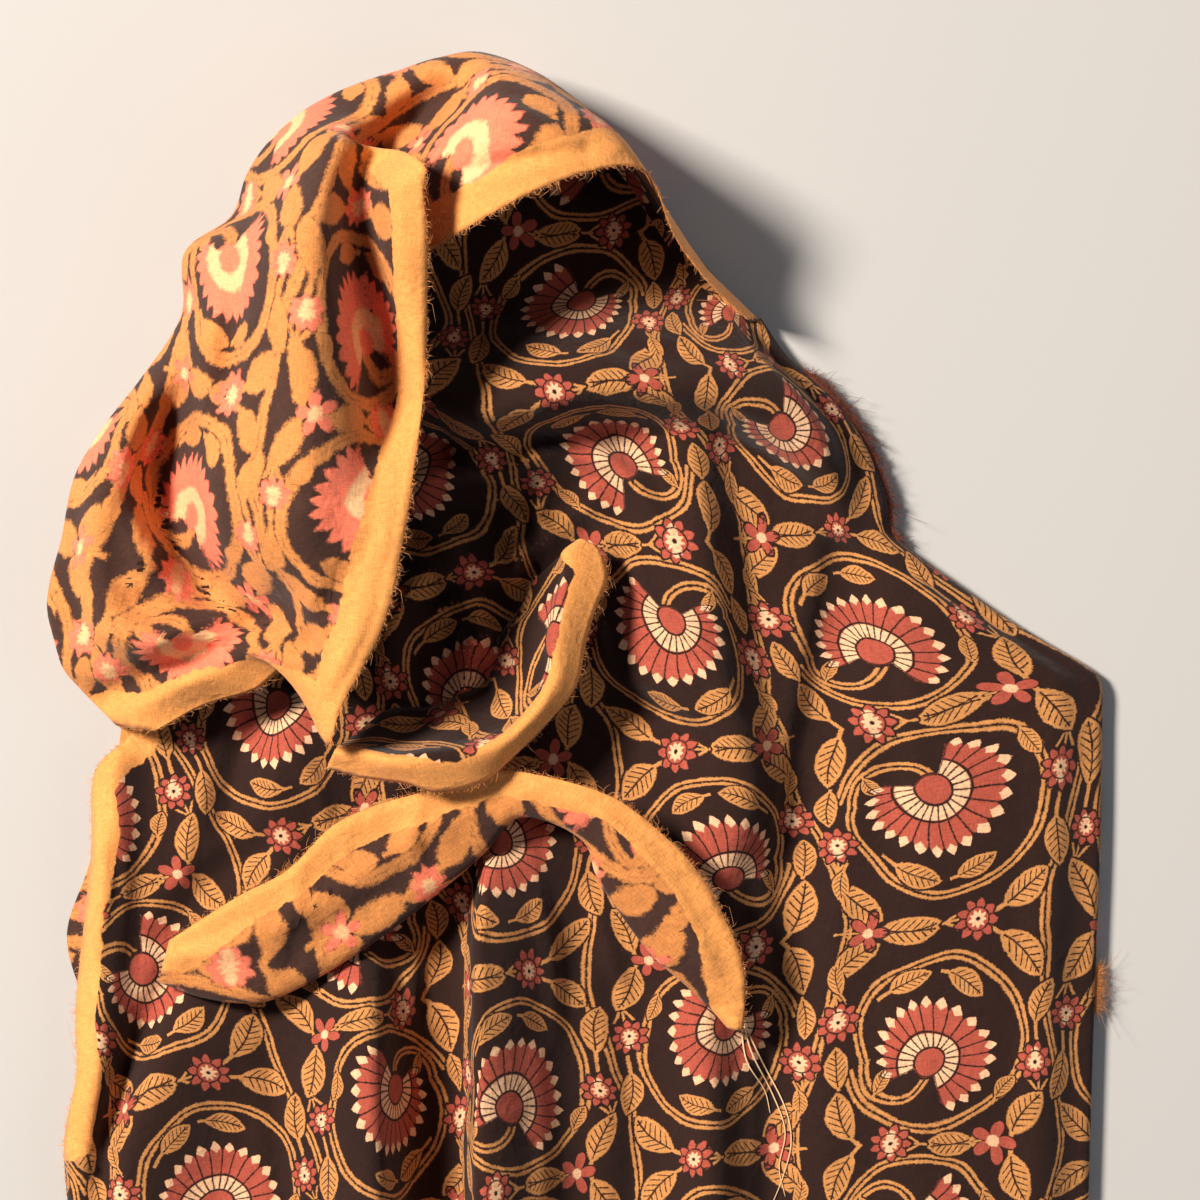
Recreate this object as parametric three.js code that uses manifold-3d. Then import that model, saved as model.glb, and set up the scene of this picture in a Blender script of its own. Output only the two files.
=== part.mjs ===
import * as THREE from "three";
import { mergeVertices } from "three/addons/utils/BufferGeometryUtils.js";
import Module from "manifold-3d";

// A cut length of block-printed cotton lying face up, in mm.
// X runs to the right, Y towards the top of the cloth, Z up from the surface it lies on.
// Its left and top borders are rolled over, its right side is turned under as a flat back layer.

const THICKNESS = 2; // the cotton with the air held in its fine wrinkles
const MID_HEIGHT = THICKNESS / 2; // middle of a layer that lies on the surface
const SMOOTHING = 0.75; // how far the faces may move when flat areas are thinned out

const UPPER_ROWS = 36; // rows of the front layer beside the rolled left border
const LOWER_ROWS = 22; // rows below it, along the open left selvedge
const COLUMNS = 54; // across the front layer
const TURN_STEPS = 4; // round the fold at the right
const BACK_COLUMNS = 4; // across the flat back layer
const BORDER_STEPS = 26; // across the rolled border
const STRIP_STATIONS = 32; // along the cuff and the bowl's lip
const STRIP_STEPS = 12; // across them

// Outline of the front layer, each run a smooth line through its points.
const LEFT_UPPER = [
  [-151, -15], [-156, -3], [-161, 14], [-162, 31], [-158, 51], [-152, 74],
  [-138, 94], [-125, 114], [-117, 134], [-110, 154], [-98, 171], [-83, 187],
];
const LEFT_LOWER = [
  [-151, -15], [-163, -28], [-164, -56], [-169, -103], [-169, -129], [-173, -153],
  [-170, -186], [-168, -212],
];
const TOP = [
  [-83, 187], [-70, 196], [-50, 201], [-32, 204], [-13, 198], [3, 186],
  [16, 171], [29, 151], [41, 136], [58, 124],
];
const RIGHT = [
  [58, 124], [67, 110], [80, 97], [91, 82], [98, 64], [101, 49], [127, 31], [153, 15],
  [169, 5.5], [172.5, 1], [172.5, -12], [172, -50], [170, -103], [168, -169], [167, -212],
];
const BACK_LEFT = [
  [-107, 120], [-126, 90], [-141, 58], [-149, 28], [-153, 0], [-158, -34],
  [-166, -60], [-173, -82], [-168, -103], [-162, -122], [-164, -160], [-163, -212],
];

// Height of the front layer's middle before its folds: it rides on the back layer,
// and comes down to the surface above that layer's top edge.
const FRONT_HEIGHT = 11;
const HOOD_HEIGHT = 2.4;
const STEP_DOWN = [100, 145];
const OVER_BACK = 3.7; // least height of its middle above the back layer
const BACK_TOP = [122, 136]; // where that least height fades out
const FLOOR_SOFTNESS = 2; // how softly a valley meets that least height

// Radius of the fold at the right, by the share of its length from the top.
const TURN_RADIUS = [
  { at: 0, radius: 3 },
  { at: 0.1, radius: 4.6 },
  { at: 0.25, radius: 5 },
  { at: 0.36, radius: 3 },
  { at: 1, radius: 3 },
];
const TURN_EASE = 14; // width over which the front layer comes to the fold's height

// The rolled border by its stations: 0 to 1 up the left side, 1 to 2 along the top.
const BORDER = [
  { at: 0.0, fold: [-155, -11, 19], crown: [-149, -12, 26], edge: [-142, -13, 28] },
  { at: 0.07, fold: [-166, 1, 20], crown: [-145, 0, 34], edge: [-125, -4, 30] },
  { at: 0.11, fold: [-171, 8, 22], crown: [-138, 8, 41], edge: [-108, 1, 34] },
  { at: 0.15, fold: [-173, 17, 24], crown: [-130, 18, 47], edge: [-95, 8, 39] },
  { at: 0.19, fold: [-173, 27, 26], crown: [-99, 22, 52], edge: [-84, -17, 53] },
  { at: 0.24, fold: [-172, 37, 27], crown: [-98, 33, 60], edge: [-78, -3, 62] },
  { at: 0.3, fold: [-169, 51, 28], crown: [-106, 47, 68], edge: [-65, 21, 70] },
  { at: 0.39, fold: [-165, 71, 28], crown: [-104, 64, 74], edge: [-58, 49, 74] },
  { at: 0.48, fold: [-156, 88, 28], crown: [-102, 84, 76], edge: [-54, 77, 72] },
  { at: 0.58, fold: [-143, 106, 28], crown: [-98, 106, 78], edge: [-51, 102, 68] },
  { at: 0.68, fold: [-131, 126, 28], crown: [-95, 127, 80], edge: [-50, 127, 72] },
  { at: 0.78, fold: [-130, 147, 28], crown: [-93, 147, 78], edge: [-50, 149, 80] },
  { at: 0.84, fold: [-115, 159, 27], crown: [-87, 162, 72], edge: [-51, 164, 84] },
  { at: 0.91, fold: [-110, 173, 26], crown: [-84, 173, 67], edge: [-51, 173, 85] },
  { at: 0.96, fold: [-103, 184, 26], crown: [-83, 183, 59], edge: [-64, 179, 76] },
  { at: 1.0, fold: [-93, 193, 26], crown: [-77, 187, 48], edge: [-73, 167, 52] },
  { at: 1.05, fold: [-82, 199, 26], crown: [-70, 186, 43], edge: [-70, 151, 44] },
  { at: 1.11, fold: [-71, 203, 28], crown: [-63, 184, 46], edge: [-59, 143, 50] },
  { at: 1.16, fold: [-60, 206, 30], crown: [-52, 181, 56], edge: [-48, 147, 62] },
  { at: 1.22, fold: [-47, 210, 33], crown: [-39, 184, 72], edge: [-33, 155, 76] },
  { at: 1.3, fold: [-32, 212, 36], crown: [-25, 191, 84], edge: [-13, 165, 84] },
  { at: 1.41, fold: [-13, 205, 38], crown: [-7, 191, 84], edge: [4, 171, 82] },
  { at: 1.52, fold: [3, 193, 36], crown: [11, 185, 70], edge: [18, 173, 74] },
  { at: 1.62, fold: [17, 177, 30], crown: [22, 171, 50], edge: [25, 167, 64] },
  { at: 1.74, fold: [31, 157, 24], crown: [32, 155, 38], edge: [31, 152, 52] },
  { at: 1.87, fold: [43, 141, 22], crown: [43, 139, 32], edge: [42, 137, 42] },
  { at: 2.0, fold: [59, 125, 19], crown: [58, 125, 25], edge: [56, 124, 32] },
];

// The turned-up cuff, from its left corner to its tip: free edge, then fold line.
const CUFF = [
  { edge: [-137, -83, 26], fold: [-141, -97, 18] },
  { edge: [-125, -75, 32], fold: [-125, -102, 22] },
  { edge: [-112, -67, 35], fold: [-107, -103, 24] },
  { edge: [-97, -59, 36], fold: [-92, -97, 25] },
  { edge: [-83, -45, 36], fold: [-77, -88, 26] },
  { edge: [-69, -38, 35], fold: [-61, -77, 27] },
  { edge: [-55, -34, 34], fold: [-47, -66, 27] },
  { edge: [-42, -30, 34], fold: [-32, -53, 28] },
  { edge: [-27, -26, 35], fold: [-22, -42, 30] },
  { edge: [-7, -29, 38], fold: [-10, -43, 31] },
  { edge: [11, -35, 39], fold: [2, -50, 31] },
  { edge: [25, -45, 38], fold: [6, -61, 30] },
  { edge: [38, -58, 36], fold: [15, -75, 28] },
  { edge: [47, -73, 33], fold: [25, -88, 26] },
  { edge: [54, -90, 29], fold: [36, -98, 23] },
  { edge: [55, -106, 24], fold: [44, -106, 20] },
  { edge: [54, -113, 22], fold: [50, -113, 19] },
];

// The lip of the bowl, from the foot of the flap to its far end: crest, then free edge.
const LIP = [
  { crest: [-81, -19, 44], edge: [-84, -25, 38] },
  { crest: [-72, -20, 46], edge: [-73, -28, 40] },
  { crest: [-61, -22, 50], edge: [-58, -30, 43] },
  { crest: [-46, -21, 50], edge: [-47, -33, 43] },
  { crest: [-33, -19, 49], edge: [-33, -30, 42] },
  { crest: [-23, -14, 47], edge: [-23, -22, 41] },
  { crest: [-14, -5, 45], edge: [-9, -8, 39] },
  { crest: [-9, 5, 43], edge: [-1, 3, 37] },
  { crest: [-8, 19, 41], edge: [2, 17, 35] },
  { crest: [-6, 30, 38], edge: [5, 27, 33] },
  { crest: [-1, 41, 33], edge: [9, 37, 29] },
  { crest: [5, 48, 27], edge: [10, 45, 24] },
];
const BOWL = [-37, 17]; // centre of the bowl
const BOWL_WALL = 20; // how far the lip's inner wall runs in towards it

// Folds of the front layer: the line of each with its heights, the widths of its two sides.
// A fold with a height below zero is a valley.
const FRONT_FOLDS = [
  { name: "shelf", left: 42, right: 18, line: [[-50, 99, 28], [-33, 93, 34], [-13, 97, 34],
    [13, 101, 32], [40, 100, 27], [63, 92, 21], [80, 78, 14], [90, 62, 5]] },
  { name: "middle swell", left: 42, right: 18, line: [[40, -83, 4], [53, -36, 12],
    [46, 4, 14], [40, 44, 16], [37, 79, 10]] },
  { name: "panel valley", left: 9, right: 20, line: [[63, -212, -6], [65, -129, -8],
    [68, -89, -9], [71, -49, -9], [77, -16, -9], [83, 17, -9], [87, 45, -6]] },
  { name: "panel swell", left: 25, right: 80, line: [[117, -212, 4], [117, -69, 4],
    [112, 17, 3]] },
  { name: "dimple", left: 8, right: 9, line: [[8, 0, -5], [25, -7, -9], [42, -17, -4]] },
  { name: "sharp ridge", left: 13, right: 36, line: [[-30, -212, 25], [-30, -103, 24],
    [-29, -69, 18], [-29, -49, 8]] },
  { name: "ridge valley", left: 9, right: 9, line: [[-44, -212, -5], [-46, -130, -6],
    [-46, -95, -6], [-50, -70, -3]] },
  { name: "shaded valley", left: 14, right: 12, line: [[20, -212, -4], [20, -150, -5],
    [16, -100, -4]] },
  { name: "low ridge", left: 16, right: 13, line: [[45, -212, 11], [44, -153, 12],
    [42, -119, 10], [40, -98, 5]] },
  { name: "round ridge", left: 40, right: 12, line: [[-60, -212, 19], [-63, -136, 20],
    [-66, -109, 17], [-70, -84, 7]] },
  { name: "slanting ridge", left: 12, right: 36, line: [[-157, -212, 9], [-154, -169, 11],
    [-147, -143, 12], [-137, -119, 11], [-127, -100, 4]] },
  { name: "strip valley", left: 8, right: 8, line: [[-162, -174, -4], [-158, -148, -5],
    [-150, -121, -6], [-138, -96, -5]] },
  { name: "selvedge strip", left: 8, right: 12, line: [[-165, -212, 4], [-167, -156, 8],
    [-163, -129, 9], [-161, -103, 10], [-158, -56, 10], [-156, -26, 6]] },
  { name: "left swell", left: 12, right: 34, line: [[-106, -48, 4], [-100, -26, 9],
    [-92, -4, 6]] },
  { name: "left crease", left: 8, right: 7, line: [[-119, -45, -4], [-116, -26, -5],
    [-110, -4, -3]] },
  { name: "cuff hollow", left: 10, right: 10, line: [[-138, -83, -4], [-125, -65, -6],
    [-108, -53, -5]] },
  { name: "first crumple", left: 8, right: 9, line: [[-52, 71, 6], [-25, 80, 9], [3, 73, 3]] },
  { name: "second crumple", left: 8, right: 9, line: [[-50, 50, 7], [-30, 42, 10],
    [-12, 50, 8], [6, 66, 4]] },
  { name: "third crumple", left: 8, right: 9, line: [[-41, -4, 7], [-36, 12, 10],
    [-36, 27, 9], [-44, 42, 5]] },
  { name: "fourth crumple", left: 8, right: 9, line: [[-23, 4, 6], [-18, 24, 9], [-8, 40, 7],
    [8, 52, 3]] },
  { name: "fifth crumple", left: 8, right: 9, line: [[-60, -3, 5], [-64, 17, 8],
    [-56, 34, 7], [-46, 44, 3]] },
  { name: "recess pull", left: 7, right: 9, line: [[-12, 92, 3], [6, 80, 6], [20, 66, 5],
    [30, 48, 2]] },
];

// Folds of the rolled border, seen from above in the same way.
const BORDER_FOLDS = [
  { name: "flap ridge", left: 20, right: 16, line: [[-93, 31, 2], [-89, 71, 5], [-87, 104, 8],
    [-89, 131, 9], [-90, 157, 8], [-85, 179, 2]] },
  { name: "pocket", left: 12, right: 15, line: [[-65, 77, -4], [-64, 94, -14], [-67, 114, -21],
    [-71, 134, -24], [-73, 152, -23], [-71, 171, -20], [-62, 184, -20], [-52, 193, -20],
    [-42, 202, -14], [-33, 211, -4]] },
  { name: "flap crease", left: 7, right: 7, line: [[-104, 16, -3], [-110, 44, -6],
    [-116, 71, -7], [-117, 97, -7], [-113, 131, -6], [-110, 157, -3]] },
  { name: "strip crown", left: 8, right: 12, line: [[-104, 26, 2], [-113, 44, 7],
    [-119, 71, 9], [-124, 104, 7], [-127, 141, 3]] },
  { name: "lobe hollow", left: 13, right: 24, line: [[-112, 27, -6], [-127, 33, -19],
    [-140, 48, -26], [-147, 68, -27], [-143, 86, -22], [-132, 101, -8]] },
  { name: "lobe crown", left: 10, right: 12, line: [[-143, 17, 6], [-157, 24, 13],
    [-163, 44, 14], [-160, 71, 14], [-148, 97, 8]] },
  { name: "lobe foot", left: 9, right: 9, line: [[-164, -3, -5], [-143, 6, -10],
    [-120, 17, -12], [-102, 27, -9], [-96, 34, -3]] },
];

const TENSION = 0.5; // of every smooth line
const vector = ([x, y, z = 0]) => new THREE.Vector3(x, y, z);
const smooth = (points) => new THREE.CatmullRomCurve3(points, false, "catmullrom", TENSION);
const spline = (points) => smooth(points.map(vector));
const mix = THREE.MathUtils.lerp;
const ease = (value, from, to) => THREE.MathUtils.smoothstep(value, from, to);

// Place of a value in a table's column, as the index of its row with a fraction.
function indexOf(rows, column, value) {
  const last = rows.length - 1;
  if (value >= rows[last][column]) return last;
  const row = Math.max(0, rows.findIndex((r) => r[column] > value) - 1);
  return row + (value - rows[row][column]) / (rows[row + 1][column] - rows[row][column]);
}

// Height that a set of folds adds at a point seen from above.
const FOLD_PIECES = 30;
function foldField(folds) {
  const lines = folds.map((fold) => ({
    ...fold,
    points: spline(fold.line).getPoints(FOLD_PIECES),
  }));
  return (x, y) => lines.reduce((height, fold) => height + foldHeight(fold, x, y), 0);
}

function foldHeight({ points, left, right }, x, y) {
  let nearest = { distance: Infinity };
  for (let i = 1; i < points.length; i++) {
    const from = points[i - 1];
    const to = points[i];
    const runX = to.x - from.x;
    const runY = to.y - from.y;
    const share = ((x - from.x) * runX + (y - from.y) * runY) / (runX * runX + runY * runY);
    const t = THREE.MathUtils.clamp(share, 0, 1);
    const offX = x - from.x - t * runX;
    const offY = y - from.y - t * runY;
    const distance = Math.hypot(offX, offY);
    if (distance < nearest.distance) {
      const cross = (runX * offY - runY * offX) / (Math.hypot(runX, runY) * (distance || 1));
      nearest = { distance, cross, height: mix(from.z, to.z, t) };
    }
  }
  const width = mix(right, left, (nearest.cross + 1) / 2);
  const u = nearest.distance / width;
  return u < 1 ? nearest.height * (1 - u) ** 2 * (1 + 2 * u) : 0;
}

const frontFolds = foldField(FRONT_FOLDS);
const borderFolds = foldField(BORDER_FOLDS);

const leftUpper = spline(LEFT_UPPER);
const leftLower = spline(LEFT_LOWER);
const top = spline(TOP);
const right = spline(RIGHT);
const backLeft = spline(BACK_LEFT);
const topLeft = vector(TOP[0]);
const topRight = vector(RIGHT[0]);
const bottomLeft = vector(LEFT_LOWER.at(-1));
const bottomRight = vector(RIGHT.at(-1));

const ROWS = UPPER_ROWS + LOWER_ROWS;

// Point of the left outline at a row counted from the top.
function leftAt(row) {
  return row <= UPPER_ROWS
    ? leftUpper.getPointAt(1 - row / UPPER_ROWS)
    : leftLower.getPointAt((row - UPPER_ROWS) / LOWER_ROWS);
}

// Point of the front layer's outline blended inwards, seen from above.
function planAt(row, column) {
  const v = row / ROWS;
  const u = column / COLUMNS;
  const across = leftAt(row).multiplyScalar(1 - u).addScaledVector(right.getPointAt(v), u);
  const bottom = bottomLeft.clone().lerp(bottomRight, u);
  const down = top.getPointAt(u).multiplyScalar(1 - v).addScaledVector(bottom, v);
  const corners = topLeft.clone().lerp(topRight, u).lerp(bottomLeft.clone().lerp(bottomRight, u), v);
  return across.add(down).sub(corners);
}

function turnRadius(v) {
  const index = indexOf(TURN_RADIUS, "at", v);
  const low = Math.floor(index);
  const high = Math.min(low + 1, TURN_RADIUS.length - 1);
  return mix(TURN_RADIUS[low].radius, TURN_RADIUS[high].radius, index - low);
}

// Middle height of the front layer over a point, before it meets the fold at the right.
function frontHeight(x, y) {
  const base = mix(FRONT_HEIGHT, HOOD_HEIGHT, ease(y, ...STEP_DOWN));
  const floor = mix(OVER_BACK, MID_HEIGHT, ease(y, ...BACK_TOP));
  const height = base + frontFolds(x, y);
  return floor + FLOOR_SOFTNESS * Math.log(1 + Math.exp((height - floor) / FLOOR_SOFTNESS));
}

function frontPoint(row, column) {
  const point = planAt(row, column);
  const rim = right.getPointAt(row / ROWS);
  const rimHeight = MID_HEIGHT + 2 * turnRadius(row / ROWS);
  const inward = ease(point.distanceTo(rim), 0, TURN_EASE);
  point.z = column === COLUMNS ? rimHeight : mix(rimHeight, frontHeight(point.x, point.y), inward);
  return point;
}

// Points of the turn at the right and of the back layer behind it.
function backPoint(row, column) {
  const v = row / ROWS;
  const rim = right.getPointAt(v);
  const radius = turnRadius(v);
  if (column <= TURN_STEPS) {
    const angle = (column / TURN_STEPS) * Math.PI;
    const along = right.getTangentAt(v);
    const reach = radius * Math.sin(angle);
    return new THREE.Vector3(
      rim.x - along.y * reach,
      rim.y + along.x * reach,
      MID_HEIGHT + radius * (1 + Math.cos(angle)),
    );
  }
  const share = (column - TURN_STEPS) / BACK_COLUMNS;
  const point = rim.lerp(backLeft.getPointAt(v), share);
  point.z = MID_HEIGHT;
  return point;
}

const foldLine = spline(BORDER.map((station) => station.fold));
const crownLine = spline(BORDER.map((station) => station.crown));
const edgeLine = spline(BORDER.map((station) => station.edge));

// Section of the rolled border: out from the rim, round its fold, over the crown to its edge.
const FOLD_SHARE = 0.5; // place of the fold among the section's five points
const FOLD_STEPS = 0.34; // share of the steps spent before it
const UNDER_REACH = 0.75;
const UNDER_RISE = 0.25;
const FOLDS_FROM = [0.45, 0.62]; // where the border's own folds fade in along the section
function borderSection(rim, at) {
  const place = indexOf(BORDER, "at", at) / (BORDER.length - 1);
  const fold = foldLine.getPoint(place);
  const under = rim.clone().lerp(fold, UNDER_REACH);
  under.z = mix(rim.z, fold.z, UNDER_RISE);
  const section = smooth([rim, under, fold, crownLine.getPoint(place), edgeLine.getPoint(place)]);
  return (step) => {
    const s = step / BORDER_STEPS;
    const t = s < FOLD_STEPS
      ? (s / FOLD_STEPS) * FOLD_SHARE
      : mix(FOLD_SHARE, 1, (s - FOLD_STEPS) / (1 - FOLD_STEPS));
    const point = section.getPoint(t);
    point.z += borderFolds(point.x, point.y) * ease(t, ...FOLDS_FROM);
    return point;
  };
}

// A surface being collected: points and the triangles between them.
function surface() {
  const points = [];
  const triangles = [];
  return {
    points,
    triangles,
    add: (point) => points.push(point) - 1,
    quad(a, b, c, d) {
      const alongAC = points[a].distanceTo(points[c]) <= points[b].distanceTo(points[d]);
      if (alongAC) triangles.push([a, b, c], [a, c, d]);
      else triangles.push([a, b, d], [b, c, d]);
    },
  };
}

// Front layer, turn, back layer and rolled border as one surface with shared rims.
function clothSurface() {
  const sheet = surface();
  const rows = [];
  for (let row = 0; row <= ROWS; row++) {
    const line = [];
    for (let column = 0; column <= COLUMNS; column++) line.push(sheet.add(frontPoint(row, column)));
    for (let column = 1; column <= TURN_STEPS + BACK_COLUMNS; column++) {
      line.push(sheet.add(backPoint(row, column)));
    }
    rows.push(line);
  }
  for (let row = 0; row < ROWS; row++) {
    for (let c = 0; c < rows[row].length - 1; c++) {
      sheet.quad(rows[row][c], rows[row + 1][c], rows[row + 1][c + 1], rows[row][c + 1]);
    }
  }

  const stations = [];
  for (let row = UPPER_ROWS; row > 0; row--) {
    stations.push({ root: rows[row][0], at: 1 - row / UPPER_ROWS });
  }
  for (let column = 0; column <= COLUMNS; column++) {
    stations.push({ root: rows[0][column], at: 1 + column / COLUMNS });
  }
  const border = stations.map(({ root, at }) => {
    const section = borderSection(sheet.points[root], at);
    const line = [root];
    for (let step = 1; step <= BORDER_STEPS; step++) line.push(sheet.add(section(step)));
    return line;
  });
  for (let i = 0; i < border.length - 1; i++) {
    for (let k = 0; k < BORDER_STEPS; k++) {
      sheet.quad(border[i][k], border[i + 1][k], border[i + 1][k + 1], border[i][k + 1]);
    }
  }
  return sheet;
}

// A strip whose sections run between its free edge and its root in the front layer.
function stripSurface(sectionAt) {
  const sheet = surface();
  const lines = [];
  for (let i = 0; i <= STRIP_STATIONS; i++) {
    const section = sectionAt(i / STRIP_STATIONS);
    const line = [];
    for (let k = 0; k <= STRIP_STEPS; k++) line.push(sheet.add(section.getPoint(k / STRIP_STEPS)));
    lines.push(line);
  }
  for (let i = 0; i < STRIP_STATIONS; i++) {
    for (let k = 0; k < STRIP_STEPS; k++) {
      sheet.quad(lines[i][k], lines[i + 1][k], lines[i + 1][k + 1], lines[i][k + 1]);
    }
  }
  return sheet;
}

const ROOT_LIFT = 0.3; // keeps a strip's root inside the front layer
function rootPoint(x, y) {
  return new THREE.Vector3(x, y, frontHeight(x, y) + ROOT_LIFT);
}

// The cuff: up from its free edge, over to its fold line, under and back to its root.
const CUFF_ROOT = 0.45;
const CUFF_UNDER = 0.12;
const CUFF_DROP = 0.45; // how far its turned-under part keeps the fold line's height
const CUFF_PUFF = 2; // rise of its middle
const cuffEdge = spline(CUFF.map((station) => station.edge));
const cuffFold = spline(CUFF.map((station) => station.fold));
function cuffSection(share) {
  const edge = cuffEdge.getPoint(share);
  const fold = cuffFold.getPoint(share);
  const plan = fold.clone().lerp(edge, CUFF_ROOT);
  const root = rootPoint(plan.x, plan.y);
  const under = fold.clone().lerp(edge, CUFF_UNDER);
  under.z = mix(root.z, fold.z, CUFF_DROP);
  const middle = edge.clone().lerp(fold, 0.5);
  middle.z += CUFF_PUFF;
  return smooth([edge, middle, fold, under, root]);
}

// The lip: from its free edge over the crest and down the inside wall of the bowl.
const WALL_DROP = 0.4; // place of the wall's middle point on the way down
const WALL_STEEPNESS = 0.12; // how far that point is drawn back towards the crest
const lipCrest = spline(LIP.map((station) => station.crest));
const lipEdge = spline(LIP.map((station) => station.edge));
function lipSection(share) {
  const crest = lipCrest.getPoint(share);
  const inward = vector(BOWL).sub(crest).setZ(0).normalize();
  const plan = crest.clone().addScaledVector(inward, BOWL_WALL);
  const root = rootPoint(plan.x, plan.y);
  const wall = crest.clone().lerp(root, WALL_DROP);
  wall.addScaledVector(inward, -WALL_STEEPNESS * BOWL_WALL);
  return smooth([lipEdge.getPoint(share), crest, wall, root]);
}

// Gives a surface the cloth's thickness, half of it to each side, with a rim round its edges.
function thicken({ points, triangles }) {
  const sheet = new THREE.BufferGeometry().setFromPoints(points);
  sheet.setIndex(triangles.flat());
  sheet.computeVertexNormals();
  const normals = sheet.getAttribute("normal");
  const offset = (sign) => points.flatMap((point, i) =>
    point.clone().addScaledVector(
      new THREE.Vector3().fromBufferAttribute(normals, i),
      (sign * THICKNESS) / 2,
    ).toArray());
  const count = points.length;
  const faces = [];
  const edges = new Set();
  for (const [a, b, c] of triangles) {
    faces.push(a, b, c, count + a, count + c, count + b);
    for (const [from, to] of [[a, b], [b, c], [c, a]]) edges.add(from + "," + to);
  }
  for (const edge of edges) {
    const [from, to] = edge.split(",").map(Number);
    if (edges.has(to + "," + from)) continue;
    faces.push(to, from, count + from, to, count + from, count + to);
  }
  const solid = new THREE.BufferGeometry();
  solid.setAttribute("position", new THREE.Float32BufferAttribute([...offset(1), ...offset(-1)], 3));
  solid.setIndex(faces);
  return solid;
}

const wasm = await Module();
wasm.setup();

function solidOf(geometry) {
  return new wasm.Manifold(
    new wasm.Mesh({
      numProp: 3,
      vertProperties: geometry.getAttribute("position").array,
      triVerts: new Uint32Array(geometry.getIndex().array),
    }),
  );
}

function geometryOf(solid) {
  const mesh = solid.getMesh();
  const geometry = new THREE.BufferGeometry();
  geometry.setAttribute("position", new THREE.BufferAttribute(mesh.vertProperties, 3));
  geometry.setIndex(new THREE.BufferAttribute(mesh.triVerts, 1));
  return mergeVertices(geometry, 1e-3);
}

const cloth = solidOf(thicken(clothSurface()))
  .add(solidOf(thicken(stripSurface(cuffSection))))
  .add(solidOf(thicken(stripSurface(lipSection))))
  .simplify(SMOOTHING);
const geometry = geometryOf(cloth);
geometry.computeBoundingBox();
const { min, max } = geometry.boundingBox;
geometry.translate(-(min.x + max.x) / 2, -(min.y + max.y) / 2, -min.z);

const mesh = new THREE.Mesh(
  geometry,
  new THREE.MeshStandardMaterial({ color: 0x4a3233, roughness: 0.85, metalness: 0 }),
);
mesh.name = "cloth";

const root = new THREE.Group();
root.name = "printed_cloth";
root.add(mesh);

export default root;
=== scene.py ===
"""A cut length of block-printed cotton lying in soft folds, with its frayed edges and a studio.

The cloth lies face up. Its left and top borders are rolled over and show the reverse,
its right side is turned under, and a cuff and the lip of a bowl are folded up in its middle.
Sizes in the tables are millimetres seen from above: X to the right, Y to the top, Z up.
"""

import functools
import math

import bpy
import numpy as np
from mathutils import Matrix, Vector


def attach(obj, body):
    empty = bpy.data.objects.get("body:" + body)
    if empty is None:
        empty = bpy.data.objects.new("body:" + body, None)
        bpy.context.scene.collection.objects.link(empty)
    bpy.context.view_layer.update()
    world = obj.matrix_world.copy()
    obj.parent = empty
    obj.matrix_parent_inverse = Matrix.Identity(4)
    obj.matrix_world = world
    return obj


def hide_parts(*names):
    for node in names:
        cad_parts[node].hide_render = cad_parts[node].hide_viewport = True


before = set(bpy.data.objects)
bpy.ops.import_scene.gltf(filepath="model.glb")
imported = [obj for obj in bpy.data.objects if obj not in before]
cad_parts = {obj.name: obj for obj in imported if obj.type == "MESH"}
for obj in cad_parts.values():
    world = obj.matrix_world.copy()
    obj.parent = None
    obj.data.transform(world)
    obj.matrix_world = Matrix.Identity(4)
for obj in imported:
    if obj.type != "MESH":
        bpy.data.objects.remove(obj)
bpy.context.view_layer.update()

bl_info = {
    "name": "Block-printed cotton",
    "version": (1, 0, 0),
    "blender": (4, 5, 0),
    "location": "View3D > Sidebar > Printed cotton",
    "description": "A crumpled cut length of block-printed cotton with its print, fray and studio",
    "category": "Object",
}

MM = 0.001
CENTRING = (1.0, -1.13, 0.0)  # moves the tables' origin to the middle of the cloth

# Grid of the sheet, with cells of about 1 to 4 mm and wide ones on the hidden back layer.
UPPER_ROWS = 88
LOWER_ROWS = 72
COLUMNS = 160
TURN_STEPS = 6
BACK_COLUMNS = 10
BORDER_STEPS = 56
STRIP_STATIONS = 90
STRIP_STEPS = 20
LEFT_BAND_ROWS = 50  # rows of the lower part that have the plain band at their left
END_EDGE_FROM = 20  # step from which the roll's lower end is a free edge that shows
PANEL_FROM = 0.6  # share of the columns where the right panel starts
BORDER_MIDDLE = 0.72  # share of the steps where the roll's length is taken
FOLD_PIECES = 30
LENGTH_POINTS = 600
FLATTENING_STEPS = 8
TINY = 1e-9  # keeps a division from being by nothing
LEAST_STEP = 1e-6

# Outline of the front layer, each run a smooth line through its points.
LEFT_UPPER = [
    (-151, -15), (-156, -3), (-161, 14), (-162, 31), (-158, 51), (-152, 74),
    (-138, 94), (-125, 114), (-117, 134), (-110, 154), (-98, 171), (-83, 187),
]
LEFT_LOWER = [
    (-151, -15), (-163, -28), (-164, -56), (-169, -103), (-169, -129), (-173, -153),
    (-170, -186), (-168, -212),
]
TOP = [
    (-83, 187), (-70, 196), (-50, 201), (-32, 204), (-13, 198), (3, 186),
    (16, 171), (29, 151), (41, 136), (58, 124),
]
RIGHT = [
    (58, 124), (67, 110), (80, 97), (91, 82), (98, 64), (101, 49), (127, 31), (153, 15),
    (169, 5.5), (172.5, 1), (172.5, -12), (172, -50), (170, -103), (168, -169), (167, -212),
]
BACK_LEFT = [
    (-107, 120), (-126, 90), (-141, 58), (-149, 28), (-153, 0), (-158, -34),
    (-166, -60), (-173, -82), (-168, -103), (-162, -122), (-164, -160), (-163, -212),
]

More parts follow.
